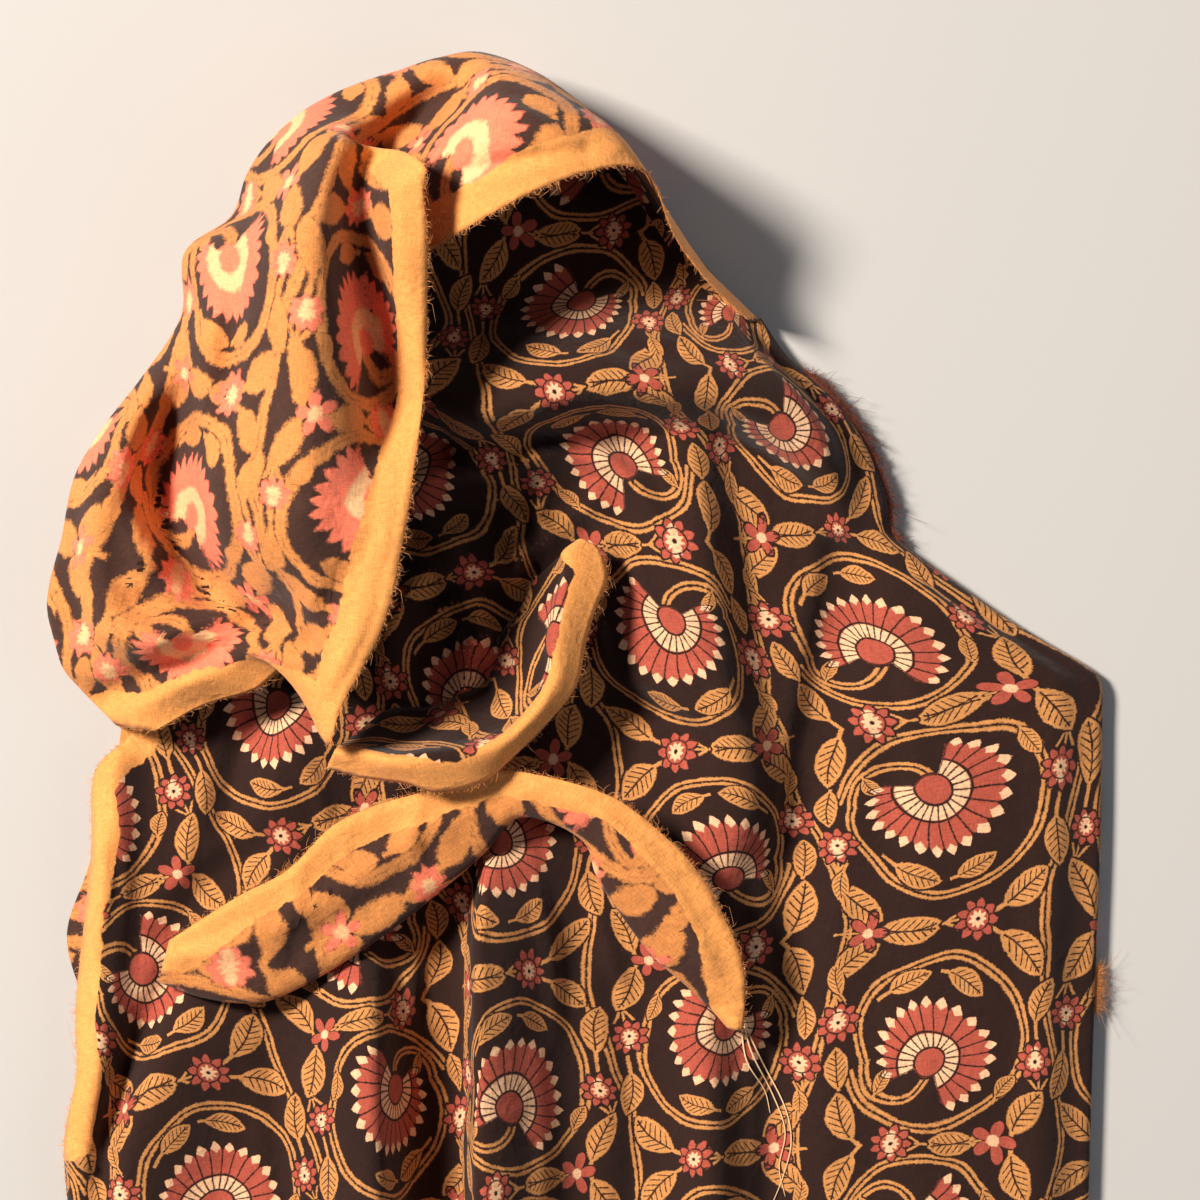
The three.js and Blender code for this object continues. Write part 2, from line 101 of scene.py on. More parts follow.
# Heights of the middle of the back layer and of the front layer, which goes down under the hood.
BACK_HEIGHT = 1.0
FRONT_HEIGHT = 11.0
HOOD_HEIGHT = 2.4
STEP_DOWN = (100, 145)  # values of Y between which it goes down
OVER_BACK = 3.7  # least height of the front layer where the back layer is under it
BACK_TOP = (122, 136)  # values of Y between which the back layer ends
FLOOR_SOFTNESS = 2.0  # how gently a valley meets the least height

TURN_RADIUS = [(0, 3), (0.1, 4.6), (0.25, 5), (0.36, 3), (1, 3)]  # by the share of the right outline
TURN_EASE = 14  # width in which the front layer comes to the height of the turn

# Low waves of limp cotton: shares of the three kinds of wave, then their height on each part.
RIPPLE_SHARES = (1.0, 0.5, 0.4)
FRONT_RIPPLE = 0.7
BORDER_RIPPLE = 0.8
CUFF_RIPPLE = 0.8
CUFF_RIPPLE_FINENESS = 3

# Rolled border: place along the outline (0 to 1 at the left, 1 to 2 at the top), then fold, crown and
# free edge.
BORDER = [
    (0.00, (-155, -11, 19), (-149, -12, 26), (-142, -13, 28)),
    (0.07, (-166, 1, 20), (-145, 0, 34), (-125, -4, 30)),
    (0.11, (-171, 8, 22), (-138, 8, 41), (-108, 1, 34)),
    (0.15, (-173, 17, 24), (-130, 18, 47), (-95, 8, 39)),
    (0.19, (-173, 27, 26), (-99, 22, 52), (-84, -17, 53)),
    (0.24, (-172, 37, 27), (-98, 33, 60), (-78, -3, 62)),
    (0.30, (-169, 51, 28), (-106, 47, 68), (-65, 21, 70)),
    (0.39, (-165, 71, 28), (-104, 64, 74), (-58, 49, 74)),
    (0.48, (-156, 88, 28), (-102, 84, 76), (-54, 77, 72)),
    (0.58, (-143, 106, 28), (-98, 106, 78), (-51, 102, 68)),
    (0.68, (-131, 126, 28), (-95, 127, 80), (-50, 127, 72)),
    (0.78, (-130, 147, 28), (-93, 147, 78), (-50, 149, 80)),
    (0.84, (-115, 159, 27), (-87, 162, 72), (-51, 164, 84)),
    (0.91, (-110, 173, 26), (-84, 173, 67), (-51, 173, 85)),
    (0.96, (-103, 184, 26), (-83, 183, 59), (-64, 179, 76)),
    (1.00, (-93, 193, 26), (-77, 187, 48), (-73, 167, 52)),
    (1.05, (-82, 199, 26), (-70, 186, 43), (-70, 151, 44)),
    (1.11, (-71, 203, 28), (-63, 184, 46), (-59, 143, 50)),
    (1.16, (-60, 206, 30), (-52, 181, 56), (-48, 147, 62)),
    (1.22, (-47, 210, 33), (-39, 184, 72), (-33, 155, 76)),
    (1.30, (-32, 212, 36), (-25, 191, 84), (-13, 165, 84)),
    (1.41, (-13, 205, 38), (-7, 191, 84), (4, 171, 82)),
    (1.52, (3, 193, 36), (11, 185, 70), (18, 173, 74)),
    (1.62, (17, 177, 30), (22, 171, 50), (25, 167, 64)),
    (1.74, (31, 157, 24), (32, 155, 38), (31, 152, 52)),
    (1.87, (43, 141, 22), (43, 139, 32), (42, 137, 42)),
    (2.00, (59, 125, 19), (58, 125, 25), (56, 124, 32)),
]
FOLD_SHARE = 0.5  # share of the way over the roll that lies under it, and its share of the steps
FOLD_STEPS = 0.34
UNDER_REACH = 0.75  # how far out and how far up the cloth is before it reaches the fold
UNDER_RISE = 0.25
FOLDS_FROM = (0.45, 0.62)  # shares of the way between which the border's folds set in

# Cuff from its left corner to its tip: free edge, then fold line.
CUFF = [
    ((-137, -83, 26), (-141, -97, 18)),
    ((-125, -75, 32), (-125, -102, 22)),
    ((-112, -67, 35), (-107, -103, 24)),
    ((-97, -59, 36), (-92, -97, 25)),
    ((-83, -45, 36), (-77, -88, 26)),
    ((-69, -38, 35), (-61, -77, 27)),
    ((-55, -34, 34), (-47, -66, 27)),
    ((-42, -30, 34), (-32, -53, 28)),
    ((-27, -26, 35), (-22, -42, 30)),
    ((-7, -29, 38), (-10, -43, 31)),
    ((11, -35, 39), (2, -50, 31)),
    ((25, -45, 38), (6, -61, 30)),
    ((38, -58, 36), (15, -75, 28)),
    ((47, -73, 33), (25, -88, 26)),
    ((54, -90, 29), (36, -98, 23)),
    ((55, -106, 24), (44, -106, 20)),
    ((54, -113, 22), (50, -113, 19)),
]
CUFF_ROOT = 0.45  # how far from the fold line to the free edge the hidden root lies
CUFF_UNDER = 0.12  # place where the cloth turns back under the cuff, and its share of the fold's height
CUFF_DROP = 0.45
CUFF_PUFF = 2.0
CUFF_CREASED = (0.35, 0.5)  # shares of the way to the root between which the creases end
ROOT_LIFT = 0.3  # of a root over the layer beneath

# Lip of the bowl from the foot of the flap to its far end: crest, then free edge.
LIP = [
    ((-81, -19, 44), (-84, -25, 38)),
    ((-72, -20, 46), (-73, -28, 40)),
    ((-61, -22, 50), (-58, -30, 43)),
    ((-46, -21, 50), (-47, -33, 43)),
    ((-33, -19, 49), (-33, -30, 42)),
    ((-23, -14, 47), (-23, -22, 41)),
    ((-14, -5, 45), (-9, -8, 39)),
    ((-9, 5, 43), (-1, 3, 37)),
    ((-8, 19, 41), (2, 17, 35)),
    ((-6, 30, 38), (5, 27, 33)),
    ((-3, 41, 33), (9, 37, 29)),
    ((-4, 47, 30), (8, 44, 27)),
    ((0, 51, 28), (5, 49, 27)),
]
BOWL = (-37, 17)  # its middle
BOWL_WALL = 20  # how far in from the crest the wall has its root
WALL_DROP = 0.4  # share of the wall at which it is drawn back to be steeper, and how far
WALL_STEEPNESS = 0.12

# Folds: width of the left and right side, then the line with its heights.
FRONT_FOLDS = {
    "shelf": (42, 15, [(-50, 99, 28), (-33, 93, 35), (-13, 97, 36), (13, 101, 34),
                       (40, 100, 28), (63, 92, 22), (80, 78, 15), (90, 62, 5)]),
    "middle swell": (42, 16, [(40, -83, 5), (54, -36, 14), (47, 4, 16), (41, 44, 17), (37, 79, 10)]),
    "panel valley": (9, 20, [(63, -212, -6), (65, -129, -8), (68, -89, -9), (71, -49, -9),
                             (77, -16, -9), (83, 17, -9), (87, 45, -6)]),
    "panel swell": (25, 80, [(117, -212, 4), (117, -69, 4), (112, 17, 3)]),
    "dimple": (8, 9, [(8, 0, -5), (25, -7, -9), (42, -17, -4)]),
    "sharp ridge": (4, 36, [(-34, -212, 27), (-34, -103, 26), (-32, -69, 20), (-29, -49, 8)]),
    "ridge valley": (15, 11, [(-45, -212, -9), (-46, -130, -12), (-46, -95, -11), (-48, -70, -4)]),
    "shaded valley": (14, 12, [(20, -212, -4), (20, -150, -5), (16, -100, -4)]),
    "low ridge": (16, 13, [(45, -212, 11), (44, -153, 12), (42, -119, 10), (40, -98, 5)]),
    "round ridge": (36, 12, [(-67, -212, 23), (-69, -136, 25), (-70, -109, 21), (-73, -84, 7)]),
    "slanting ridge": (12, 36, [(-157, -212, 9), (-154, -169, 11), (-147, -143, 12),
                                (-137, -119, 11), (-127, -100, 4)]),
    "strip valley": (8, 8, [(-162, -174, -4), (-158, -148, -5), (-150, -121, -6), (-138, -96, -5)]),
    "selvedge strip": (8, 12, [(-165, -212, 4), (-167, -156, 8), (-163, -129, 9),
                               (-161, -103, 10), (-158, -56, 10), (-156, -26, 6)]),
    "left swell": (12, 34, [(-106, -48, 4), (-100, -26, 9), (-92, -4, 6)]),
    "left crease": (8, 7, [(-119, -45, -4), (-116, -26, -5), (-110, -4, -3)]),
    "cuff hollow": (10, 10, [(-138, -83, -4), (-125, -65, -6), (-108, -53, -5)]),
    "first crumple": (8, 9, [(-52, 71, 6), (-25, 80, 9), (3, 73, 3)]),
    "second crumple": (8, 9, [(-50, 50, 7), (-30, 42, 10), (-12, 50, 8), (6, 66, 4)]),
    "third crumple": (8, 9, [(-41, -4, 7), (-36, 12, 10), (-36, 27, 9), (-44, 42, 5)]),
    "fourth crumple": (8, 9, [(-23, 4, 6), (-18, 24, 9), (-8, 40, 7), (8, 52, 3)]),
    "fifth crumple": (8, 9, [(-60, -3, 5), (-64, 17, 8), (-56, 34, 7), (-46, 44, 3)]),
    "recess pull": (7, 9, [(-12, 92, 3), (6, 80, 6), (20, 66, 5), (30, 48, 2)]),
}
BORDER_FOLDS = {
    "flap ridge": (20, 16, [(-93, 31, 2), (-89, 71, 5), (-87, 104, 8), (-89, 131, 9),
                            (-90, 157, 8), (-85, 179, 2)]),
    "pocket": (12, 15, [(-66, 72, -5), (-65, 92, -18), (-67, 114, -25), (-71, 134, -27),
                        (-73, 152, -23), (-71, 171, -20), (-62, 184, -20), (-52, 193, -20),
                        (-42, 202, -14), (-33, 211, -4)]),
    "hood hollow": (13, 15, [(-50, 186, -3), (-34, 195, -9), (-16, 192, -10), (2, 185, -4)]),
    "flap crease": (7, 7, [(-104, 16, -3), (-110, 44, -6), (-116, 71, -7), (-117, 97, -7),
                           (-113, 131, -6), (-110, 157, -3)]),
    "strip crown": (8, 12, [(-104, 26, 2), (-113, 44, 7), (-119, 71, 9), (-124, 104, 7),
                            (-127, 141, 3)]),
    "lobe hollow": (12, 30, [(-110, 27, -6), (-122, 33, -21), (-134, 48, -30), (-141, 68, -33),
                             (-138, 88, -29), (-129, 103, -11)]),
    "lobe crown": (10, 12, [(-143, 17, 6), (-157, 24, 14), (-163, 44, 16), (-160, 71, 17),
                            (-148, 97, 11)]),
    "lobe foot": (9, 9, [(-164, -3, -5), (-143, 6, -10), (-120, 17, -12), (-102, 27, -9),
                         (-96, 34, -3)]),
}

# Smaller creases, in the same columns.
FRONT_CREASES = {
    "below the shelf": (4, 5, [(-48, 88, 1), (-20, 66, 4), (8, 60, 1)]),
    "recess crease": (3, 5, [(-54, 62, -1), (-34, 60, -5), (-12, 66, -1)]),
    "star crease 1": (3, 5, [(-47, 10, 1), (-33, 19, 6), (-22, 22, 1)]),
    "star crease 2": (3, 5, [(-30, -10, 1), (-29, 4, 6), (-31, 18, 1)]),
    "star crease 3": (3, 4, [(-14, -2, 1), (-22, 8, 5), (-31, 16, 1)]),
    "star crease 4": (3, 5, [(-58, 24, 1), (-46, 28, 5), (-36, 34, 1)]),
    "star crease 5": (3, 5, [(-24, 58, 1), (-20, 44, 6), (-23, 32, 1)]),
    "star crease 6": (3, 5, [(-54, 46, 1), (-40, 52, 5), (-26, 48, 1)]),
    "star crease 7": (3, 4, [(-10, 74, 1), (-14, 60, 5), (-8, 48, 1)]),
    "recess fold": (4, 6, [(-52, 78, 1), (-30, 74, 5), (-8, 80, 5), (12, 76, 1)]),
    "wall pull 1": (3, 4, [(-4, 34, 1), (6, 22, 4), (9, 8, 1)]),
    "wall pull 2": (3, 4, [(0, 62, 1), (14, 52, 3), (22, 38, 1)]),
    "wall pull 3": (3, 5, [(-50, 96, -1), (-44, 84, -4), (-46, 74, -1)]),
    "cuff pull 1": (4, 6, [(-30, -58, 1), (-34, -84, 3), (-34, -112, 1)]),
    "cuff pull 2": (4, 5, [(-16, -58, 1), (-10, -86, 3), (-8, -118, 1)]),
    "cuff pull 3": (4, 5, [(-52, -74, 1), (-56, -100, 3), (-58, -134, 1)]),
    "cuff pull 4": (4, 5, [(4, -70, 1), (12, -92, 3), (22, -122, 1)]),
    "swell pull 1": (4, 5, [(20, 40, 1), (36, 22, 2), (52, -4, 1)]),
    "swell pull 2": (4, 5, [(30, -20, -1), (46, -26, -2), (62, -38, -1)]),
    "panel pull": (9, 12, [(96, 30, -1), (104, 0, -2), (104, -60, -1)]),
    "panel side": (14, 10, [(156, -20, 1), (154, -110, 2), (150, -200, 1)]),
    "shelf pull 1": (5, 6, [(-40, 112, 1), (-24, 118, 3), (-6, 114, 1)]),
    "shelf pull 2": (5, 6, [(4, 118, -1), (22, 112, -3), (44, 112, -1)]),
    "shoulder pull 1": (4, 6, [(46, 84, -1), (62, 80, -3), (80, 66, -1)]),
    "shoulder pull 2": (4, 5, [(70, 62, 1), (80, 56, 2), (92, 52, 1)]),
    "strip crease 1": (3, 3, [(-158, -38, -1), (-156, -66, -3), (-160, -98, -1)]),
    "strip crease 2": (3, 3, [(-163, -92, -1), (-166, -128, -3), (-169, -168, -1)]),
    "strip curl": (5, 5, [(-173, -150, 1), (-166, -157, 4), (-157, -160, 1)]),
    "left pull 1": (5, 5, [(-96, -20, 1), (-88, -34, 2), (-84, -46, 1)]),
    "left pull 2": (4, 5, [(-126, -22, 1), (-129, -42, 2), (-134, -62, 1)]),
    "lower pull 1": (6, 8, [(-106, -110, -1), (-100, -150, -2), (-96, -200, -1)]),
    "lower pull 2": (5, 6, [(-14, -120, 1), (-12, -160, 2), (-14, -205, 1)]),
    "lower pull 3": (5, 6, [(14, -112, -1), (18, -150, -2), (16, -200, -1)]),
}
BORDER_CREASES = {
    "wide band crease": (4, 5, [(-62, 62, -1), (-78, 32, -2), (-85, 4, -1)]),
    "hood pull 1": (5, 6, [(-34, 196, 1), (-18, 190, 3), (-2, 180, 1)]),
    "hood pull 2": (4, 5, [(-44, 170, -1), (-24, 174, -3), (2, 178, -1)]),
    "ridge pull 1": (4, 5, [(-104, 60, -1), (-92, 66, -2), (-78, 62, -1)]),
    "ridge pull 2": (4, 6, [(-104, 176, 1), (-96, 162, 3), (-94, 146, 1)]),
    "lobe pull 1": (4, 5, [(-156, 30, 1), (-144, 44, 3), (-142, 62, 1)]),
    "lobe pull 2": (4, 5, [(-134, 14, 1), (-116, 20, 2), (-104, 22, 1)]),
    "band pull 1": (3, 4, [(-86, 0, 1), (-76, 14, 3), (-69, 34, 1)]),
    "band pull 2": (3, 4, [(-92, 14, -1), (-84, 28, -3), (-77, 46, -1)]),
    "band pull 3": (3, 4, [(-66, 46, 1), (-63, 66, 2), (-60, 92, 1)]),
    "strip pull": (3, 4, [(-125, 60, -1), (-122, 84, -2), (-126, 108, -1)]),
}
CUFF_CREASES = {
    "long crease": (4, 5, [(-134, -88, 1), (-116, -84, 3), (-96, -74, 3), (-78, -64, 4), (-58, -50, 3),
                           (-38, -41, 1)]),
    "lower crease": (3, 4, [(-118, -96, -1), (-98, -88, -2), (-78, -78, -2), (-60, -64, -1)]),
    "cross crease 1": (3, 4, [(-92, -56, 1), (-96, -72, 2), (-104, -94, 1)]),
    "cross crease 2": (3, 4, [(-52, -36, 1), (-56, -50, 2), (-52, -66, 1)]),
    "right crease": (4, 5, [(-2, -36, 1), (14, -46, 3), (28, -62, 3), (38, -80, 3), (46, -98, 1)]),
    "tip crease": (3, 4, [(36, -88, -1), (44, -98, -2), (50, -108, -1)]),
}


# Shape of the cloth


def catmull(controls, share):
    """Points of smooth lines, share 0 to 1 by point number; controls has points on its last but one axis."""
    first = 2 * controls[..., :1, :] - controls[..., 1:2, :]
    last = 2 * controls[..., -1:, :] - controls[..., -2:-1, :]
    points = np.concatenate([first, controls, last], axis=-2)
    place = np.clip(share, 0, 1) * (controls.shape[-2] - 1)
    index = np.minimum(place.astype(int), controls.shape[-2] - 2)
    w = (place - index)[:, None]
    a, b, c, d = (points[..., index + k, :] for k in range(4))
    return b + 0.5 * w * (c - a + w * (2 * a - 5 * b + 4 * c - d + w * (3 * (b - c) + d - a)))


def by_length(points, share):
    """Points of a smooth line at shares of its length."""
    line = catmull(np.array(points, float), np.linspace(0, 1, LENGTH_POINTS))
    travelled = np.concatenate([[0], np.cumsum(np.linalg.norm(np.diff(line, axis=0), axis=1))])
    wanted = np.asarray(share) * travelled[-1]
    return np.stack([np.interp(wanted, travelled, line[:, k]) for k in range(line.shape[1])], -1)


def ease(value, low, high):
    """0 below the low value, 1 above the high one and smooth between them."""
    t = np.clip((value - low) / (high - low), 0, 1)
    return t * t * (3 - 2 * t)


def unit(vectors):
    """Vectors made one long."""
    return vectors / np.maximum(np.linalg.norm(vectors, axis=-1, keepdims=True), TINY)


def fold_height(folds, x, y):
    """Height that a set of folds adds at points seen from above."""
    height = np.zeros_like(x)
    for left, right, line in folds.values():
        points = catmull(np.array(line, float), np.linspace(0, 1, FOLD_PIECES + 1))
        reach = max(left, right)
        low, high = points.min(0) - reach, points.max(0) + reach
        near = (x > low[0]) & (x < high[0]) & (y > low[1]) & (y < high[1])
        if not near.any():
            continue
        px, py = x[near], y[near]
        nearest = np.full(px.shape, np.inf)
        side, crest = np.zeros_like(px), np.zeros_like(px)
        for start, end in zip(points[:-1], points[1:]):
            run = end - start
            length = math.hypot(run[0], run[1])
            share = ((px - start[0]) * run[0] + (py - start[1]) * run[1]) / length**2
            share = np.clip(share, 0, 1)
            off_x, off_y = px - start[0] - share * run[0], py - start[1] - share * run[1]
            distance = np.hypot(off_x, off_y)
            closer = distance < nearest
            cross = (run[0] * off_y - run[1] * off_x) / (length * np.maximum(distance, TINY))
            nearest = np.where(closer, distance, nearest)
            side = np.where(closer, cross, side)
            crest = np.where(closer, start[2] + share * run[2], crest)
        u = np.clip(nearest / (right + (left - right) * (side + 1) / 2), 0, 1)
        height[near] += crest * (1 - u) ** 2 * (1 + 2 * u)
    return height


def ripple(x, y):
    """Low uneven waves of limp cotton, from -1 to 1."""
    broad = np.sin(0.071 * x + 1.3 * np.sin(0.043 * y)) * np.sin(0.083 * y + 0.9 * np.sin(0.057 * x + 1.0))
    rising = np.sin(0.19 * x + 0.11 * y + 2.0 * np.sin(0.06 * y))
    falling = np.sin(0.23 * y - 0.13 * x + 1.5 * np.sin(0.05 * x))
    waves = sum(share * wave for share, wave in zip(RIPPLE_SHARES, (broad, rising, falling)))
    return waves / sum(RIPPLE_SHARES)


def front_height(x, y):
    """Height of the front layer's middle at points seen from above."""
    base = FRONT_HEIGHT + (HOOD_HEIGHT - FRONT_HEIGHT) * ease(y, *STEP_DOWN)
    floor = OVER_BACK + (BACK_HEIGHT - OVER_BACK) * ease(y, *BACK_TOP)
    height = base + fold_height(FRONT_FOLDS, x, y) + fold_height(FRONT_CREASES, x, y)
    height += FRONT_RIPPLE * ripple(x, y)
    return floor + FLOOR_SOFTNESS * np.log1p(np.exp((height - floor) / FLOOR_SOFTNESS))


def front_layer():
    """Grid of the front layer with the turn at the right and the back layer behind it."""
    rows = UPPER_ROWS + LOWER_ROWS
    v = np.linspace(0, 1, rows + 1)
    u = np.linspace(0, 1, COLUMNS + 1)
    left = np.concatenate([
        by_length(LEFT_UPPER, 1 - np.arange(UPPER_ROWS + 1) / UPPER_ROWS),
        by_length(LEFT_LOWER, np.arange(1, LOWER_ROWS + 1) / LOWER_ROWS),
    ])
    right = by_length(RIGHT, v)
    top = by_length(TOP, u)
    bottom = left[-1] + (right[-1] - left[-1]) * u[:, None]
    across = left[:, None] * (1 - u)[None, :, None] + right[:, None] * u[None, :, None]
    down = top[None] * (1 - v)[:, None, None] + bottom[None] * v[:, None, None]
    corners = (
        (top[0] + (top[-1] - top[0]) * u[:, None])[None] * (1 - v)[:, None, None]
        + bottom[None] * v[:, None, None]
    )
    plan = across + down - corners
    radius = np.interp(v, *zip(*TURN_RADIUS))
    rim = BACK_HEIGHT + 2 * radius
    inward = ease(np.linalg.norm(plan - right[:, None], axis=2), 0, TURN_EASE)
    height = front_height(plan[..., 0], plan[..., 1])
    height = rim[:, None] + (height - rim[:, None]) * inward
    front = np.dstack([plan, height])

    tangent = unit(np.gradient(right, axis=0))
    outward = np.stack([-tangent[:, 1], tangent[:, 0]], -1)
    angle = np.linspace(0, math.pi, TURN_STEPS + 1)[1:]
    turn_plan = right[:, None] + outward[:, None] * (radius[:, None] * np.sin(angle))[..., None]
    turn_height = BACK_HEIGHT + radius[:, None] * (1 + np.cos(angle))
    turn = np.dstack([turn_plan, turn_height])

    share = np.linspace(0, 1, BACK_COLUMNS + 1)[1:]
    back_plan = right[:, None] + (by_length(BACK_LEFT, v) - right)[:, None] * share[:, None]
    back = np.dstack([back_plan, np.full(back_plan.shape[:2], BACK_HEIGHT)])
    return np.concatenate([front, turn, back], axis=1)


def rolled_border(front):
    """Grid of the rolled border, a line of points for each point of the outline that it leaves from."""
    rim = np.concatenate([front[UPPER_ROWS:0:-1, 0], front[0, : COLUMNS + 1]])
    at = np.concatenate([
        np.arange(UPPER_ROWS) / UPPER_ROWS,
        1 + np.arange(COLUMNS + 1) / COLUMNS,
    ])
    stations = np.array([s[0] for s in BORDER])
    place = np.interp(at, stations, np.linspace(0, 1, len(BORDER)))
    fold, crown, edge = (catmull(np.array([s[k] for s in BORDER], float), place) for k in (1, 2, 3))
    under = rim + (fold - rim) * UNDER_REACH
    under[:, 2] = rim[:, 2] + (fold[:, 2] - rim[:, 2]) * UNDER_RISE
    controls = np.stack([rim, under, fold, crown, edge], axis=1)
    step = np.arange(BORDER_STEPS + 1) / BORDER_STEPS
    share = np.where(
        step < FOLD_STEPS,
        step / FOLD_STEPS * FOLD_SHARE,
        FOLD_SHARE + (1 - FOLD_SHARE) * (step - FOLD_STEPS) / (1 - FOLD_STEPS),
    )
    border = catmull(controls, share)
    x, y = border[..., 0], border[..., 1]
    added = fold_height(BORDER_FOLDS, x, y) + fold_height(BORDER_CREASES, x, y)
    border[..., 2] += (added + BORDER_RIPPLE * ripple(x, y)) * ease(share, *FOLDS_FROM)
    return border


def root_points(plan):
    """Points of a hidden root, on the front layer."""
    return np.column_stack([plan, front_height(plan[:, 0], plan[:, 1]) + ROOT_LIFT])


def cuff():
    """Grid of the cuff, from its free edge over its fold line to its hidden root."""
    place = np.linspace(0, 1, STRIP_STATIONS + 1)
    edge, fold = (catmull(np.array([s[k] for s in CUFF], float), place) for k in (0, 1))
    root = root_points((fold + (edge - fold) * CUFF_ROOT)[:, :2])
    under = fold + (edge - fold) * CUFF_UNDER
    under[:, 2] = root[:, 2] + (fold[:, 2] - root[:, 2]) * CUFF_DROP
    middle = (edge + fold) / 2 + np.array([0, 0, CUFF_PUFF])
    controls = np.stack([edge, middle, fold, under, root], axis=1)
    way = np.linspace(0, 1, STRIP_STEPS + 1)
    grid = catmull(controls, way)
    x, y = grid[..., 0], grid[..., 1]
    waves = CUFF_RIPPLE * ripple(CUFF_RIPPLE_FINENESS * x, CUFF_RIPPLE_FINENESS * y)
    grid[..., 2] += (fold_height(CUFF_CREASES, x, y) + waves) * (1 - ease(way, *CUFF_CREASED))
    return grid


def bowl_lip():
    """Grid of the bowl's lip, from its free edge over the crest and down the inside wall."""
    place = np.linspace(0, 1, STRIP_STATIONS + 1)
    crest, edge = (catmull(np.array([s[k] for s in LIP], float), place) for k in (0, 1))
    inward = unit(np.array(BOWL) - crest[:, :2])
    root = root_points(crest[:, :2] + inward * BOWL_WALL)
    wall = crest + (root - crest) * WALL_DROP
    wall[:, :2] -= inward * BOWL_WALL * WALL_STEEPNESS
    controls = np.stack([edge, crest, wall, root], axis=1)
    return catmull(controls, np.linspace(0, 1, STRIP_STEPS + 1))


def travelled(grid, axis):
    """Length along the lines of a grid from their first points."""
    steps = np.linalg.norm(np.diff(grid, axis=axis), axis=2)
    start = np.zeros_like(np.take(steps, [0], axis=axis))
    return np.concatenate([start, np.cumsum(steps, axis=axis)], axis=axis)


def unfolded(grid, axis):
    """First guess of X (axis 1) or Y (axis 0) on the flat cloth, counted back from the grid's far side."""
    part = 1 - axis
    steps = np.diff(grid, axis=axis)
    plan = np.maximum(np.linalg.norm(steps[..., :2], axis=2), LEAST_STEP)
    flat = steps[..., part] * np.linalg.norm(steps, axis=2) / plan
    start = np.take(grid[..., part], [0], axis=axis)
    place = np.concatenate([start, start + np.cumsum(flat, axis=axis)], axis=axis)
    return place + np.take(grid[..., part] - place, [-1], axis=axis)


FAR = 200.0  # a distance from the edge that counts as inside the print
BORDER_PRINT = (46.0, 20.0)  # where the print of each part starts on the flat cloth
CUFF_PRINT = (25.0, 90.0)
LIP_PRINT = (10.0, 30.0)
LEFT_BAND = 0.78  # width of the plain band, as a share of that on the border
CUFF_BAND = 0.8
LIP_BAND = 0.85


def corners(values):
    """Values of a grid at the four corners of each of its cells."""
    return np.stack([values[:-1, :-1], values[1:, :-1], values[1:, 1:], values[:-1, 1:]], axis=2)


class Part:
    """A grid of the cloth: its points' numbers, their places on the flat cloth and its free edges.

    Its anchor is the stretch of it that has to keep its place on the print, and its band is
    the share of the usual width that the plain band along its edges has.
    """

    def __init__(self, index, flat, free_edges, band=1.0, anchor=slice(None)):
        self.index, self.flat, self.free_edges = index, flat, free_edges
        self.band, self.anchor = band, anchor

    def edge_distance(self):
        """Distance of each point from the free edges on the flat cloth, against its band."""
        nearest = np.full(self.index.shape, FAR)
        for rows, columns in self.free_edges:
            line = self.flat[rows, columns].reshape(-1, 2)
            for start, end in zip(line[:-1], line[1:]):
                run = end - start
                share = ((self.flat - start) @ run / max(run @ run, TINY)).clip(0, 1)
                away = np.linalg.norm(self.flat - start - share[..., None] * run, axis=2)
                nearest = np.minimum(nearest, away / self.band)
        return nearest


def flatten(points, parts):
    """Lays the parts flat with little stretch, each placed as near as can be to its first guess.

    Every other row and column is enough for that; the others go halfway between.
    """
    grids = [points[part.index[::2, ::2]] for part in parts]
    starts = np.cumsum([0] + [grid.shape[0] * grid.shape[1] for grid in grids])
    positions = np.concatenate([grid.reshape(-1, 3) for grid in grids])
    quads = np.concatenate([
        corners(np.arange(start, end).reshape(grid.shape[:2])).reshape(-1, 4)
        for start, end, grid in zip(starts, starts[1:], grids)
    ])
    mesh = bpy.data.meshes.new("flattening")
    mesh.from_pydata(positions.tolist(), [], quads.tolist())
    piece = bpy.data.objects.new("flattening", mesh)
    bpy.context.scene.collection.objects.link(piece)
    bpy.ops.object.select_all(action="DESELECT")
    bpy.context.view_layer.objects.active = piece
    piece.select_set(True)
    mesh.uv_layers.new(name="flat")
    bpy.ops.object.mode_set(mode="EDIT")
    bpy.ops.mesh.select_all(action="SELECT")
    bpy.ops.uv.select_all(action="SELECT")
    bpy.ops.uv.unwrap(method="MINIMUM_STRETCH", fill_holes=False, iterations=FLATTENING_STEPS, margin=0)
    bpy.ops.object.mode_set(mode="OBJECT")
    values = np.empty(len(mesh.loops) * 2, dtype=np.float32)
    mesh.uv_layers[0].data.foreach_get("uv", values)
    found = np.zeros((len(positions), 2))
    found[quads.ravel()] = values.reshape(-1, 2)
    bpy.data.objects.remove(piece)
    bpy.data.meshes.remove(mesh)
    for start, end, grid, part in zip(starts, starts[1:], grids, parts):
        laid = found[start:end].reshape(*grid.shape[:2], 2)
        scale = travelled(grid, 1)[:, -1].sum() / travelled(laid, 1)[:, -1].sum()
        part.flat = placed_like(twice_as_fine(laid * scale), part.flat, part.anchor)


def twice_as_fine(grid):
    """A grid with points added halfway between its own."""
    fine = np.empty((grid.shape[0] * 2 - 1, grid.shape[1] * 2 - 1, grid.shape[2]))
    fine[::2, ::2] = grid
    fine[1::2, ::2] = (grid[:-1] + grid[1:]) / 2
    fine[:, 1::2] = (fine[:, :-1:2] + fine[:, 2::2]) / 2
    return fine


